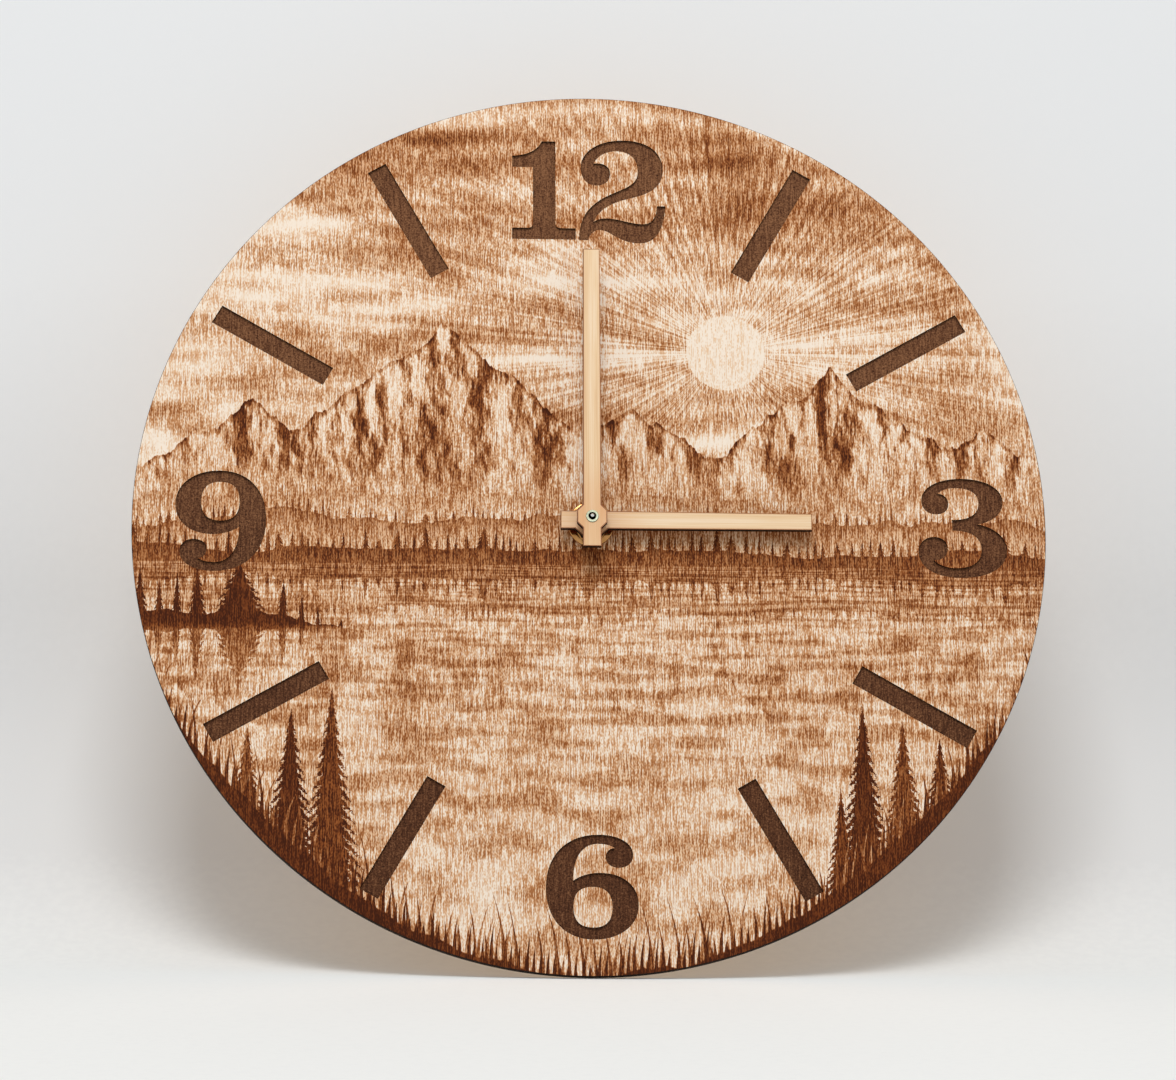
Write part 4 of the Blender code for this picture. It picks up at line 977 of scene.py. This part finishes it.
SIX = Outline((-14.8, -121.3), (
    (-14.8, -111.0, -8.6, -103.9, 2.2, -103.9), (9.0, -103.9, 13.2, -106.8, 13.2, -110.4),
    (13.2, -113.0, 11.4, -114.7, 8.7, -114.7), (6.0, -114.7, 4.4, -113.2, 4.4, -111.3),
    (4.4, -109.4, 5.8, -108.2, 7.3, -108.3), (6.0, -107.3, 4.0, -106.9, 2.0, -106.9),
    (-3.3, -106.9, -6.1, -111.6, -6.1, -119.0), (-3.5, -117.1, -0.3, -116.4, 2.6, -116.4),
    (10.2, -116.4, 14.9, -120.6, 14.9, -126.8), (14.9, -133.4, 9.0, -138.1, 0.6, -138.1),
    (-8.5, -138.1, -14.8, -132.0, -14.8, -121.3)))
SIX_EYE = Outline((0.2, -121.0), (
    (4.4, -121.0, 6.5, -123.2, 6.5, -127.6), (6.5, -132.0, 4.4, -134.2, 0.4, -134.2),
    (-4.0, -134.2, -6.0, -132.0, -6.0, -127.5), (-6.0, -123.3, -4.2, -121.0, 0.2, -121.0)))
SIX_MIDDLE = (0.0, -121.0)
NINE_MIDDLE = (-121.0, 0.0)


def object_from(name: str, shape: bmesh.types.BMesh,
                *materials: bpy.types.Material) -> bpy.types.Object:
    """Turn a bmesh into an object at the origin.

    Args:
        name: the piece's name.
        shape: the bmesh, which is freed.
        materials: the piece's materials, in the order of its slots.

    Returns:
        The object, with smooth shading and sharp corners.
    """
    mesh = bpy.data.meshes.new(name)
    shape.to_mesh(mesh)
    shape.free()
    made = bpy.data.objects.new(name, mesh)
    bpy.context.scene.collection.objects.link(made)
    for finish in materials:
        mesh.materials.append(finish)
    mesh.shade_smooth()
    mesh.set_sharp_from_angle(angle=SHARP_ANGLE)
    return made


def carved(shape: bmesh.types.BMesh, cutter: bmesh.types.BMesh) -> bmesh.types.BMesh:
    """Cut one closed shape out of another.

    Args:
        shape: the shape to keep, which is freed.
        cutter: the shape to cut away, which is freed.

    Returns:
        A new bmesh of what is left.
    """
    kept, tool = object_from("kept", shape), object_from("tool", cutter)
    modifier = kept.modifiers.new("cut", "BOOLEAN")
    modifier.object, modifier.operation, modifier.solver = tool, "DIFFERENCE", "EXACT"
    graph = bpy.context.evaluated_depsgraph_get()
    left = bmesh.new()
    left.from_mesh(kept.evaluated_get(graph).to_mesh())
    for scratch in (kept, tool):
        mesh = scratch.data
        bpy.data.objects.remove(scratch)
        bpy.data.meshes.remove(mesh)
    return left


def plain_copy(node: str) -> bmesh.types.BMesh:
    """Copy a CAD node's mesh with its corners merged, and without its stored normals.

    Args:
        node: name of the node.

    Returns:
        The copy.
    """
    solid = bmesh.new()
    solid.from_mesh(frame["nodes"][node].data)
    bmesh.ops.remove_doubles(solid, verts=solid.verts, dist=0.001 * MM)
    copy = bmesh.new()
    corner = {vert: copy.verts.new(vert.co) for vert in solid.verts}
    for face in solid.faces:
        copy.faces.new([corner[vert] for vert in face.verts])
    solid.free()
    return copy


def add_cylinder(shape: bmesh.types.BMesh, radius: float, front: float, back: float,
                 segments: int, place: Matrix = ORIGIN) -> None:
    """Add a closed cylinder along Y, in metres.

    Args:
        shape: bmesh that takes the cylinder.
        radius: radius of the cylinder.
        front: depth of its front end.
        back: depth of its back end.
        segments: sides of the cylinder.
        place: where its axis stands.
    """
    lie = place @ Matrix.Translation((0.0, (front + back) / 2, 0.0)) @ LAID
    bmesh.ops.create_cone(shape, cap_ends=True, segments=segments, radius1=radius,
                          radius2=radius, depth=abs(back - front), matrix=lie)


def add_box(shape: bmesh.types.BMesh, middle: Triple, size: Triple, turn: float = 0.0) -> None:
    """Add a box, turned about the hands' axis.

    Args:
        shape: bmesh that takes the box.
        middle: its middle before the turn, in millimetres.
        size: its size along X, Y and Z before the turn, in millimetres.
        turn: degrees from +Z towards +X.
    """
    place = Matrix.Rotation(math.radians(turn), 4, "Y")
    place = place @ Matrix.Translation([distance * MM for distance in middle])
    place = place @ Matrix.Diagonal([*(length * MM for length in size), 1.0])
    bmesh.ops.create_cube(shape, size=1.0, matrix=place)


@dataclass
class Dial:
    """Plywood disc with its engraved picture, burnt numerals and burnt hour bars."""

    segments: int = 288
    rim_chamfer: float = 0.15
    pocket: float = 0.8
    bar_inner: float = 100.1
    bar_outer: float = 142.8
    bar_width: float = 6.8
    bar_hours: tuple[int, ...] = (1, 2, 4, 5, 7, 8, 10, 11)
    bush_hole: float = 4.05
    curve_steps: int = 14
    margin: float = 1.0
    front: float = field(init=False)
    back: float = field(init=False)
    radius: float = field(init=False)

    def __post_init__(self) -> None:
        """Take the disc's size and place from the frame."""
        low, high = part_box("dial")
        self.front, self.back, self.radius = low.y, high.y, high.x

    def blank(self) -> bmesh.types.BMesh:
        """Make the disc, with a small chamfer on both rims.

        Returns:
            The disc before it is cut.
        """
        disc = bmesh.new()
        add_cylinder(disc, self.radius, self.front, self.back, self.segments)
        rims = [edge for edge in disc.edges if len(edge.link_faces) == 2
                and max(len(face.verts) for face in edge.link_faces) > 4]
        bmesh.ops.bevel(disc, geom=rims, offset=self.rim_chamfer * MM, segments=1, profile=0.5,
                        affect="EDGES", material=-1)
        return disc

    def numerals(self) -> bmesh.types.BMesh:
        """Make the cutters of the four numerals, from one flat curve.

        Returns:
            The numerals, set through the dial's face.
        """
        curve = bpy.data.curves.new("numerals", "CURVE")
        curve.dimensions = "2D"
        curve.fill_mode = "BOTH"
        curve.resolution_u = self.curve_steps
        curve.extrude = (self.margin + self.pocket) * MM / 2
        outlines = (ONE, TWO, THREE, SIX, SIX_EYE, SIX.turned(SIX_MIDDLE, NINE_MIDDLE),
                    SIX_EYE.turned(SIX_MIDDLE, NINE_MIDDLE))
        for outline in outlines:
            outline.draw(curve)
        holder = bpy.data.objects.new("numerals", curve)
        mesh = bpy.data.meshes.new_from_object(holder)
        bpy.data.objects.remove(holder)
        cutter = bmesh.new()
        cutter.from_mesh(mesh)
        bpy.data.meshes.remove(mesh)
        bmesh.ops.remove_doubles(cutter, verts=cutter.verts, dist=0.005 * MM)
        middle = self.front + (self.pocket - self.margin) * MM / 2
        bmesh.ops.transform(cutter, verts=cutter.verts,
                            matrix=Matrix.Translation((0.0, middle, 0.0)) @ LAID)
        bmesh.ops.recalc_face_normals(cutter, faces=cutter.faces)
        return cutter

    def cutters(self) -> bmesh.types.BMesh:
        """Make everything that is cut out of the disc.

        Returns:
            The numerals, the hour bars and the hole for the bush.
        """
        cutter = self.numerals()
        middle = self.front / MM + (self.pocket - self.margin) / 2
        size = (self.bar_width, self.margin + self.pocket, self.bar_outer - self.bar_inner)
        for hour in self.bar_hours:
            add_box(cutter, (0.0, middle, (self.bar_inner + self.bar_outer) / 2), size,
                    HOUR_TURN * hour)
        add_cylinder(cutter, self.bush_hole * MM, self.front - self.margin * MM,
                     self.back + self.margin * MM, HOLE_SIDES)
        return cutter

    def build(self) -> bpy.types.Object:
        """Cut the disc, give each kind of face its finish and stand it for the CAD disc.

        Returns:
            The dial.
        """
        disc = carved(self.blank(), self.cutters())
        floor = self.front + self.pocket * MM
        for face in disc.faces:
            depth = face.calc_center_median().y
            if face.normal.y < -0.99:
                face.material_index = 0 if depth < floor - 0.1 * MM else 1
            else:
                face.material_index = 2 if face.normal.y > 0.99 else 3
        made = object_from("engraved_dial", disc, EngravedLandscape().build(),
                           BurntFloor().build(), BarePly().build(),
                           LaserChar("charred_plywood_edge").build())
        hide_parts("dial")
        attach(made, "root")
        return made


@dataclass
class Hand:
    """Laser-cut plywood hand: a straight bar with a square tail on an octagonal hub."""

    node: str
    body: str
    grain: Along
    reach: float
    hub: float
    bore: float
    degrees: float
    root_width: float = 6.0
    tip_width: float = 5.5
    tail: float = 10.1
    scorch: float = 0.36
    scorched: Tones = ((0.34, "7C4820"), (0.50, "A26636"), (0.64, "BC8550"))
    # Back faces: smoke stain from the cut, darkened further as painted shade so that the back reads
    # dark, also where the washer reflects it.
    smoked_and_shaded_back: Tones = ((0.34, "6E3F1C"), (0.50, "95602F"), (0.64, "B27E48"))
    soot: str = "8C5228"
    margin: float = 1.0

    def outline(self) -> list[Point]:
        """Work out the hand's corners as it points up, in millimetres.

        Returns:
            The corners in order round the hand.
        """
        root, tip = self.root_width / 2, self.tip_width / 2
        shoulder = self.hub * math.sqrt(2.0) - root
        corner = self.hub * math.tan(math.radians(22.5))
        right = [(root, -self.tail), (root, -shoulder), (self.hub, -corner), (self.hub, corner),
                 (root, shoulder), (tip, self.reach)]
        return right + [(-x, z) for x, z in reversed(right)]

    def build(self) -> bpy.types.Object:
        """Cut the hand out of its sheet, with a scorched line round its face.

        Returns:
            The hand.
        """
        low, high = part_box(self.node)
        plate = bmesh.new()
        corners = [plate.verts.new((x * MM, low.y, z * MM)) for x, z in self.outline()]
        face = plate.faces.new(corners)
        grown = bmesh.ops.extrude_face_region(plate, geom=[face])
        moved = [item for item in grown["geom"] if isinstance(item, bmesh.types.BMVert)]
        bmesh.ops.translate(plate, verts=moved, vec=(0.0, high.y - low.y, 0.0))
        bmesh.ops.recalc_face_normals(plate, faces=plate.faces)
        bmesh.ops.rotate(plate, verts=plate.verts, cent=(0.0, 0.0, 0.0),
                         matrix=Matrix.Rotation(math.radians(self.degrees), 3, "Y"))
        for side in plate.faces:
            side.material_index = 2 if abs(side.normal.y) < 0.5 else 3 if side.normal.y > 0 else 0
        faces = [face for face in plate.faces if face.normal.y < -0.5]
        border = bmesh.ops.inset_individual(plate, faces=faces, thickness=self.scorch * MM)
        for edge in border["faces"]:
            edge.material_index = 1
        bore = bmesh.new()
        add_cylinder(bore, self.bore * MM, low.y - self.margin * MM, high.y + self.margin * MM,
                     HOLE_SIDES)
        plate = carved(plate, bore)
        wood = PaleHandWood(f"{self.node}_birch", self.grain)
        scorched = PaleHandWood(f"{self.node}_scorched_birch", self.grain, self.scorched, self.soot)
        # Material of the back faces: smoke stain with painted shade.
        smoked_and_shaded_back = PaleHandWood(f"{self.node}_smoke_and_painted_shade_birch", self.grain, self.smoked_and_shaded_back,
                               self.soot)
        made = object_from(f"cut_{self.node}", plate, wood.build(), scorched.build(),
                           LaserChar(f"{self.node}_charred_edge").build(), smoked_and_shaded_back.build())
        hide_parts(self.node)
        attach(made, self.body)
        return made


@dataclass
class Movement:
    """Quartz movement and its fixings: CAD nodes in the finishes of such products."""

    finishes: tuple[tuple[Finish, tuple[str, ...]], ...] = (
        (MouldedPlastic("black_moulded_abs", "2A2A2C", "1D1D1F", 0.45), ("movement_case",)),
        (MouldedPlastic("white_acetal", "E6E3DA", "D6D2C6", 0.38),
         ("middle_plate", "hour_wheel", "minute_wheel", "setting_knob", "centre_gear",
          "third_wheel", "seconds_wheel", "intermediate_wheel", "rotor_pinion")),
        (MouldedPlastic("amber_nylon", "D8B878", "C4A05C", 0.40), ("coil_bobbin",)),
        (MouldedPlastic("black_rubber", "2C2C2E", "202022", 0.85, 0.6), ("rubber_washer",)),
        (MouldedPlastic("black_epoxy", "1A1A1C", "111113", 0.28, 0.9), ("timing_chip",)),
        (MouldedPlastic("green_circuit_laminate", "2C6A45", "1F5235", 0.45, 0.5),
         ("circuit_board",)),
        (WorkedMetal("polished_nickel_plate", "D9D5CB", "C9C4B8", 0.10),
         ("fixing_nut", "threaded_bush")),
        (CellSleeve(), ("battery_cell",)),
        (WorkedMetal("drawn_nickel_tube", "DCE0C6", "CACFB2", 0.22, (0.6, 0.08, 0.6)),
         ("minute_arbor",)),
        (WorkedMetal("polished_steel_wire", "E6E6E4", "D2D2D0", 0.10), ("seconds_arbor",)),
        (WorkedMetal("zinc_plated_steel", "C6C9CC", "A9ADB2", 0.30, (0.2, 0.2, 4.0)),
         ("hanger",)),
        (WorkedMetal("sintered_magnet", "6A6A70", "4C4C52", 0.45), ("rotor_magnet",)),
        (WorkedMetal("rolled_iron_lamination", "A4A4A8", "86868C", 0.38, (0.2, 4.0, 0.2)),
         ("stator", "coil_core")),
        (WorkedMetal("enamelled_copper_wire", "C4713F", "8F4A26", 0.30, (4.0, 4.0, 0.12)),
         ("coil_winding",)),
        (WorkedMetal("tinned_crystal_can", "CFCFCC", "B4B4B0", 0.28), ("quartz_crystal",)),
        (WorkedMetal("rolled_contact_brass", "C9A55C", "A98541", 0.28, (0.2, 4.0, 0.2)),
         ("positive_contact", "negative_contact")),
    )

    def dress(self) -> None:
        """Put each finish on the nodes that have it."""
        for finish, nodes in self.finishes:
            material = finish.build()
            for node in nodes:
                put_on(node, material)


@dataclass
class FixingWasher:
    """Turned and polished brass washer, whose rounded rim catches the light from above."""

    finish: WorkedMetal
    rim: float = 0.35
    rim_steps: int = 3
    near_rim: float = 0.98

    def build(self) -> bpy.types.Object:
        """Round the front rim of a copy of the CAD washer and stand it for the node.

        Returns:
            The washer.
        """
        low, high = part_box("fixing_washer")
        washer = plain_copy("fixing_washer")
        bmesh.ops.dissolve_limit(washer, angle_limit=FLAT_ANGLE, verts=washer.verts,
                                 edges=washer.edges)
        nearly = self.near_rim * (high.x - low.x) / 2
        front = (low.y + high.y) / 2
        rim = [edge for edge in washer.edges if all(
            vert.co.y < front and math.hypot(vert.co.x, vert.co.z) > nearly
            for vert in edge.verts)]
        bmesh.ops.bevel(washer, geom=rim, offset=self.rim * MM, segments=self.rim_steps,
                        profile=0.5, affect="EDGES", material=-1)
        made = object_from("rounded_fixing_washer", washer, self.finish.build())
        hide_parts("fixing_washer")
        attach(made, "root")
        return made


@dataclass
class RearCover:
    """Movement's back cover, with the marks that such mouldings carry, pressed into its face."""

    finish: MouldedPlastic
    mark_depth: float = 0.5
    ring_inner: float = 7.6
    ring_outer: float = 8.2
    arrow_inner: float = 9.8
    arrow_outer: float = 10.8
    arrow_ends: tuple[tuple[float, float], ...] = ((20.0, 75.0), (200.0, 255.0))
    arrow_head: float = 1.7
    sign_length: float = 4.0
    sign_width: float = 0.9
    sign_side: float = 21.5
    sign_height: float = -6.9
    pin_radius: float = 1.7
    pin_depth: float = 0.2
    pin_places: tuple[Point, ...] = ((-22.0, 21.5), (22.0, 21.5), (-10.5, 21.5), (-22.0, 3.0))
    latch: Point = (5.0, 1.1)
    latch_side: float = 14.0
    latch_depth: float = 0.7
    arrow_steps: int = 16
    ring_steps: int = 64
    pin_sides: int = 32

    def knob_place(self, turn: float) -> Matrix:
        """Place on the setting knob's axis, turned from +X towards +Z.

        Args:
            turn: the turn, in degrees.

        Returns:
            The place's matrix.
        """
        low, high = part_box("setting_knob")
        place = Matrix.Translation(((low.x + high.x) / 2, 0.0, (low.z + high.z) / 2))
        return place @ Matrix.Rotation(math.radians(-turn), 4, "Y")

    def groove(self, shape: bmesh.types.BMesh, inner: float, outer: float, start: float,
               angle: float) -> None:
        """Add the cutter of a groove swept about the knob's axis.

        Args:
            shape: bmesh that takes the cutter.
            inner: inner radius, in millimetres.
            outer: outer radius, in millimetres.
            start: angle that it starts at, in degrees from +X towards +Z.
            angle: angle that it covers, in degrees.
        """
        part = bmesh.new()
        deep = self.mark_depth * MM
        corners = [part.verts.new((radius * MM, y, 0.0))
                   for radius, y in ((inner, -deep), (outer, -deep), (outer, deep), (inner, deep))]
        sides = [part.edges.new(pair) for pair in zip(corners, corners[1:] + corners[:1])]
        full = angle == FULL_TURN
        caps = [] if full else [part.faces.new(corners)]
        steps = self.ring_steps if full else self.arrow_steps
        bmesh.ops.spin(part, geom=[*corners, *sides, *caps], cent=(0.0, 0.0, 0.0),
                       axis=(0.0, -1.0, 0.0), angle=math.radians(angle), steps=steps,
                       use_merge=full)
        bmesh.ops.transform(part, verts=part.verts, matrix=self.knob_place(start))
        bmesh.ops.recalc_face_normals(part, faces=part.faces)
        mesh = bpy.data.meshes.new("part")
        part.to_mesh(mesh)
        part.free()
        shape.from_mesh(mesh)
        bpy.data.meshes.remove(mesh)

    def mark(self, shape: bmesh.types.BMesh, middle: Point, size: Point, depth: float) -> None:
        """Add a box that cuts into the back face.

        Args:
            shape: bmesh that takes the box.
            middle: X and Z of its middle, in millimetres.
            size: its width and height, in millimetres.
            depth: how deep it cuts, in millimetres.
        """
        add_box(shape, (middle[0], 0.0, middle[1]), (size[0], 2 * depth, size[1]))

    def heads(self, shape: bmesh.types.BMesh) -> None:
        """Add the arrows' heads, each at the end of its arc and pointing along it.

        Args:
            shape: bmesh that takes the heads.
        """
        middle = Matrix.Translation(((self.arrow_inner + self.arrow_outer) / 2 * MM, 0.0, 0.0))
        deep = self.mark_depth * MM
        for _, end in self.arrow_ends:
            add_cylinder(shape, self.arrow_head * MM, -deep, deep, 3,
                         self.knob_place(end) @ middle)

    def build(self) -> bpy.types.Object:
        """Press the marks into a copy of the CAD cover and stand it for the node.

        Returns:
            The cover.
        """
        marks = bmesh.new()
        self.groove(marks, self.ring_inner, self.ring_outer, 0.0, FULL_TURN)
        for start, end in self.arrow_ends:
            self.groove(marks, self.arrow_inner, self.arrow_outer, start, end - start)
        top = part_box("rear_cover")[1].z / MM
        for side in (-1.0, 1.0):
            self.mark(marks, (side * self.sign_side, self.sign_height),
                      (self.sign_length, self.sign_width), self.mark_depth)
            self.mark(marks, (side * self.latch_side, top), self.latch, self.latch_depth)
        for across, up in self.pin_places:
            add_cylinder(marks, self.pin_radius * MM, -self.pin_depth * MM, self.pin_depth * MM,
                         self.pin_sides, Matrix.Translation((across * MM, 0.0, up * MM)))
        cover = carved(plain_copy("rear_cover"), marks)
        more = bmesh.new()
        self.mark(more, (self.sign_side, self.sign_height), (self.sign_width, self.sign_length),
                  self.mark_depth)
        self.heads(more)
        made = object_from("moulded_rear_cover", carved(cover, more), self.finish.build())
        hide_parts("rear_cover")
        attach(made, "root")
        return made


def put_on(node: str, material: bpy.types.Material) -> None:
    """Give a CAD node's object one material.

    Args:
        node: name of the node.
        material: its new material.
    """
    for slot in frame["nodes"][node].material_slots:
        slot.material = material
    LOG.info("%s is dressed in %s", node, material.name)


@dataclass(frozen=True)
class Lamp:
    """Square soft lamp that shines on the hands' axis, with its lengths in metres."""

    name: str
    direction: Triple
    power: float
    size: float
    distance: float = 1.7

    def hang(self) -> None:
        """Put the lamp in its place."""
        data = bpy.data.lights.new(self.name, "AREA")
        data.shape = "SQUARE"
        data.size = self.size
        data.energy = self.power
        holder = bpy.data.objects.new(self.name, data)
        towards = Vector(self.direction).normalized()
        holder.location = towards * self.distance
        holder.rotation_euler = towards.to_track_quat("Z", "Y").to_euler()
        bpy.context.scene.collection.objects.link(holder)


@dataclass
class Stage:
    """Camera, lamps and the pale sweep that the clock leans against.

    The lengths are in metres, and those of the paper's tones and of the ground in millimetres.
    """

    lens: float = 133.77
    sensor: float = 36.0
    near_clip: float = 0.05
    far_clip: float = 50.0
    camera_place: Triple = (-0.0693, -1.3931, -0.4089)
    camera_right: Triple = (0.99880, -0.04881, -0.00329)
    camera_up: Triple = (-0.01062, -0.28185, 0.95940)
    camera_back: Triple = (-0.04776, -0.95821, -0.28204)
    lean: float = 16.4
    sweep_width: float = 4.0
    floor_depth: float = 2.0
    wall_height: float = 2.0
    wall_gap: float = 0.045
    sweep_radius: float = 0.12
    sweep_steps: int = 16
    # Paper tones by height above the floor: painted shade low in the bend, painted light higher up
    # the wall.
    paper: Tones = (
        (0.00, "EEEFED"), (0.04, "E8E9E8"), (0.10, "E0E1E1"), (0.28, "E1E3E4"),
        (0.45, "ECEEEF"), (0.58, "F1F3F4"), (0.72, "F5F7F8"), (1.00, "F2F4F5"))
    paper_top: float = 320.0
    ground: str = "E8E9E6"
    ground_near: float = 420.0
    ground_far: float = 1000.0
    key: Lamp = Lamp("key", (-0.06, -0.76, 0.65), 15.0, 0.7)
    rear: Lamp = Lamp("rear", (0.20, 0.94, 0.28), 14.0, 0.9)
    front_light: float = 0.50
    top_light: float = 0.68
    rear_share: float = 0.30

    def camera(self) -> None:
        """Stand the camera where the photograph was taken from."""
        data = bpy.data.cameras.new("camera")
        data.lens = self.lens
        data.sensor_width = self.sensor
        data.sensor_fit = "HORIZONTAL"
        data.clip_start = self.near_clip
        data.clip_end = self.far_clip
        turn = Matrix((self.camera_right, self.camera_up, self.camera_back)).transposed()
        holder = bpy.data.objects.new("camera", data)
        holder.matrix_world = Matrix.LocRotScale(Vector(self.camera_place), turn, None)
        bpy.context.scene.collection.objects.link(holder)
        bpy.context.scene.camera = holder

    def leaning(self) -> Matrix:
        """Turn from the real upright, in which the clock leans, to the frame's."""
        return Matrix.Rotation(math.radians(self.lean), 4, "X")

    def backdrop_material(self, floor: float) -> bpy.types.Material:
        """White paper that only what looks at its face can see, so no view is blocked.

        It has painted shade and light: it is greyer low in its bend, just above the floor, and
        paler higher up the wall, and far out it passes into the world's pale ground.

        Args:
            floor: upright height of the floor, in metres.

        Returns:
            The paper's material.
        """
        surface = Surface("white_paper_sweep")
        upright = self.leaning().to_3x3() @ Vector((0.0, 0.0, 1.0))
        height = surface.add("VectorMath", {0: surface.place, 1: upright}, "Value",
                             operation="DOT_PRODUCT") - floor / MM
        fibre = surface.cloud((3.0, 3.0, 3.0), Detail=4.0).spread(-0.01, 0.01)
        # Painted shade and light: the paper's tone follows its height above the floor.
        tone = surface.toned(height / self.paper_top + fibre, self.paper)
        paper = surface.add("BsdfDiffuse", {"Color": tone})
        ground = surface.add("Emission", {"Color": linear(self.ground)})
        away = surface.add("VectorMath", {0: surface.place}, "Value", operation="LENGTH")
        far = away.fade(self.ground_near, self.ground_far)
        paper = surface.add("MixShader", {0: far, 1: paper, 2: ground})
        clear = surface.add("BsdfTransparent")
        seen = surface.looked_at() - surface.add("NewGeometry", output="Backfacing")
        surface.add("OutputMaterial",
                    {"Surface": surface.add("MixShader", {0: seen, 1: clear, 2: paper})})
        return surface.material

    def sweep(self) -> None:
        """Floor that curves up into a wall, both true to the leaning clock's real upright.

        The floor also goes on behind the wall, for views from the back, which see no wall.
        """
        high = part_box("dial")[1]
        lean = self.leaning()
        upright = lean.inverted()
        floor = (upright @ Vector((0.0, high.y, -high.z))).z
        wall = (upright @ Vector((0.0, high.y, high.z))).y + self.wall_gap
        profile = [(wall - self.floor_depth, floor)]
        for step in range(self.sweep_steps + 1):
            angle = math.radians(90.0 * step / self.sweep_steps)
            profile.append((wall - self.sweep_radius + self.sweep_radius * math.sin(angle),
                            floor + self.sweep_radius - self.sweep_radius * math.cos(angle)))
        profile.append((wall, floor + self.wall_height))
        paper = bmesh.new()
        corners = [paper.verts.new((-self.sweep_width / 2, y, z)) for y, z in profile]
        edges = [paper.edges.new(pair) for pair in zip(corners, corners[1:])]
        behind = [paper.verts.new((-self.sweep_width / 2, profile[1][0] + far, floor))
                  for far in (0.0, self.floor_depth)]
        edges.append(paper.edges.new(behind))
        grown = bmesh.ops.extrude_edge_only(paper, edges=edges)
        moved = [item for item in grown["geom"] if isinstance(item, bmesh.types.BMVert)]
        bmesh.ops.translate(paper, verts=moved, vec=(self.sweep_width, 0.0, 0.0))
        bmesh.ops.transform(paper, verts=paper.verts, matrix=lean)
        seen_from = Vector(self.camera_place)
        paper.normal_update()
        turned = [face for face in paper.faces
                  if face.normal.dot(seen_from - face.calc_center_median()) < 0.0]
        bmesh.ops.reverse_faces(paper, faces=turned)
        object_from("paper_sweep", paper, self.backdrop_material(floor))

    def world(self) -> None:
        """White world, dim behind the wall, which what looks past the sweep sees as pale ground.

        The sweep stops no light, so that the clock's back is lit, and the dim part stands for
        what the wall would keep off the paper behind the clock.
        """
        world = bpy.data.worlds.new("studio")
        bpy.context.scene.world = world
        world.use_nodes = True
        sky = Graph(world.node_tree)
        level = self.leaning().to_3x3() @ Vector((0.0, 1.0, 0.0))
        behind = sky.add("VectorMath", {0: sky.add("TexCoord", output="Generated"), 1: level},
                         "Value", operation="DOT_PRODUCT")
        strength = behind.fade(-1.0, 0.0, self.front_light, self.top_light)
        strength = strength * behind.fade(0.1, 0.6, 1.0, self.rear_share)
        even = sky.add("Background", {"Color": linear("FFFFFF"), "Strength": strength})
        shown = sky.add("Background", {"Color": linear(self.ground), "Strength": 1.0})
        mixed = sky.add("MixShader", {0: sky.looked_at(), 1: even, 2: shown})
        sky.add("OutputWorld", {"Surface": mixed})

    def build(self) -> None:
        """Set up the whole stage."""
        bpy.context.scene.view_settings.view_transform = "Standard"
        self.camera()
        self.sweep()
        self.key.hang()
        self.rear.hang()
        self.world()


def main() -> None:
    """Build the clock's visible pieces in order."""
    Stage().build()
    dial = Dial().build()
    LOG.info("%s has %d faces", dial.name, len(dial.data.polygons))
    minute = Hand("minute_hand", "minute", Along.UP, reach=92.5, hub=4.9, bore=2.1, degrees=0.0)
    hour = Hand("hour_hand", "hour", Along.ACROSS, reach=72.2, hub=5.9, bore=2.7, degrees=90.0)
    for hand in (minute, hour):
        LOG.info("%s is cut", hand.build().name)
    Movement().dress()
    brass = WorkedMetal("polished_brass_washer", "BE8C58", "AE7C48", 0.12)
    LOG.info("%s is rounded", FixingWasher(brass).build().name)
    cover = RearCover(MouldedPlastic("black_moulded_abs_cover", "2C2C2E", "1F1F21", 0.40)).build()
    LOG.info("%s has %d faces", cover.name, len(cover.data.polygons))


if __name__ == "__main__":
    main()
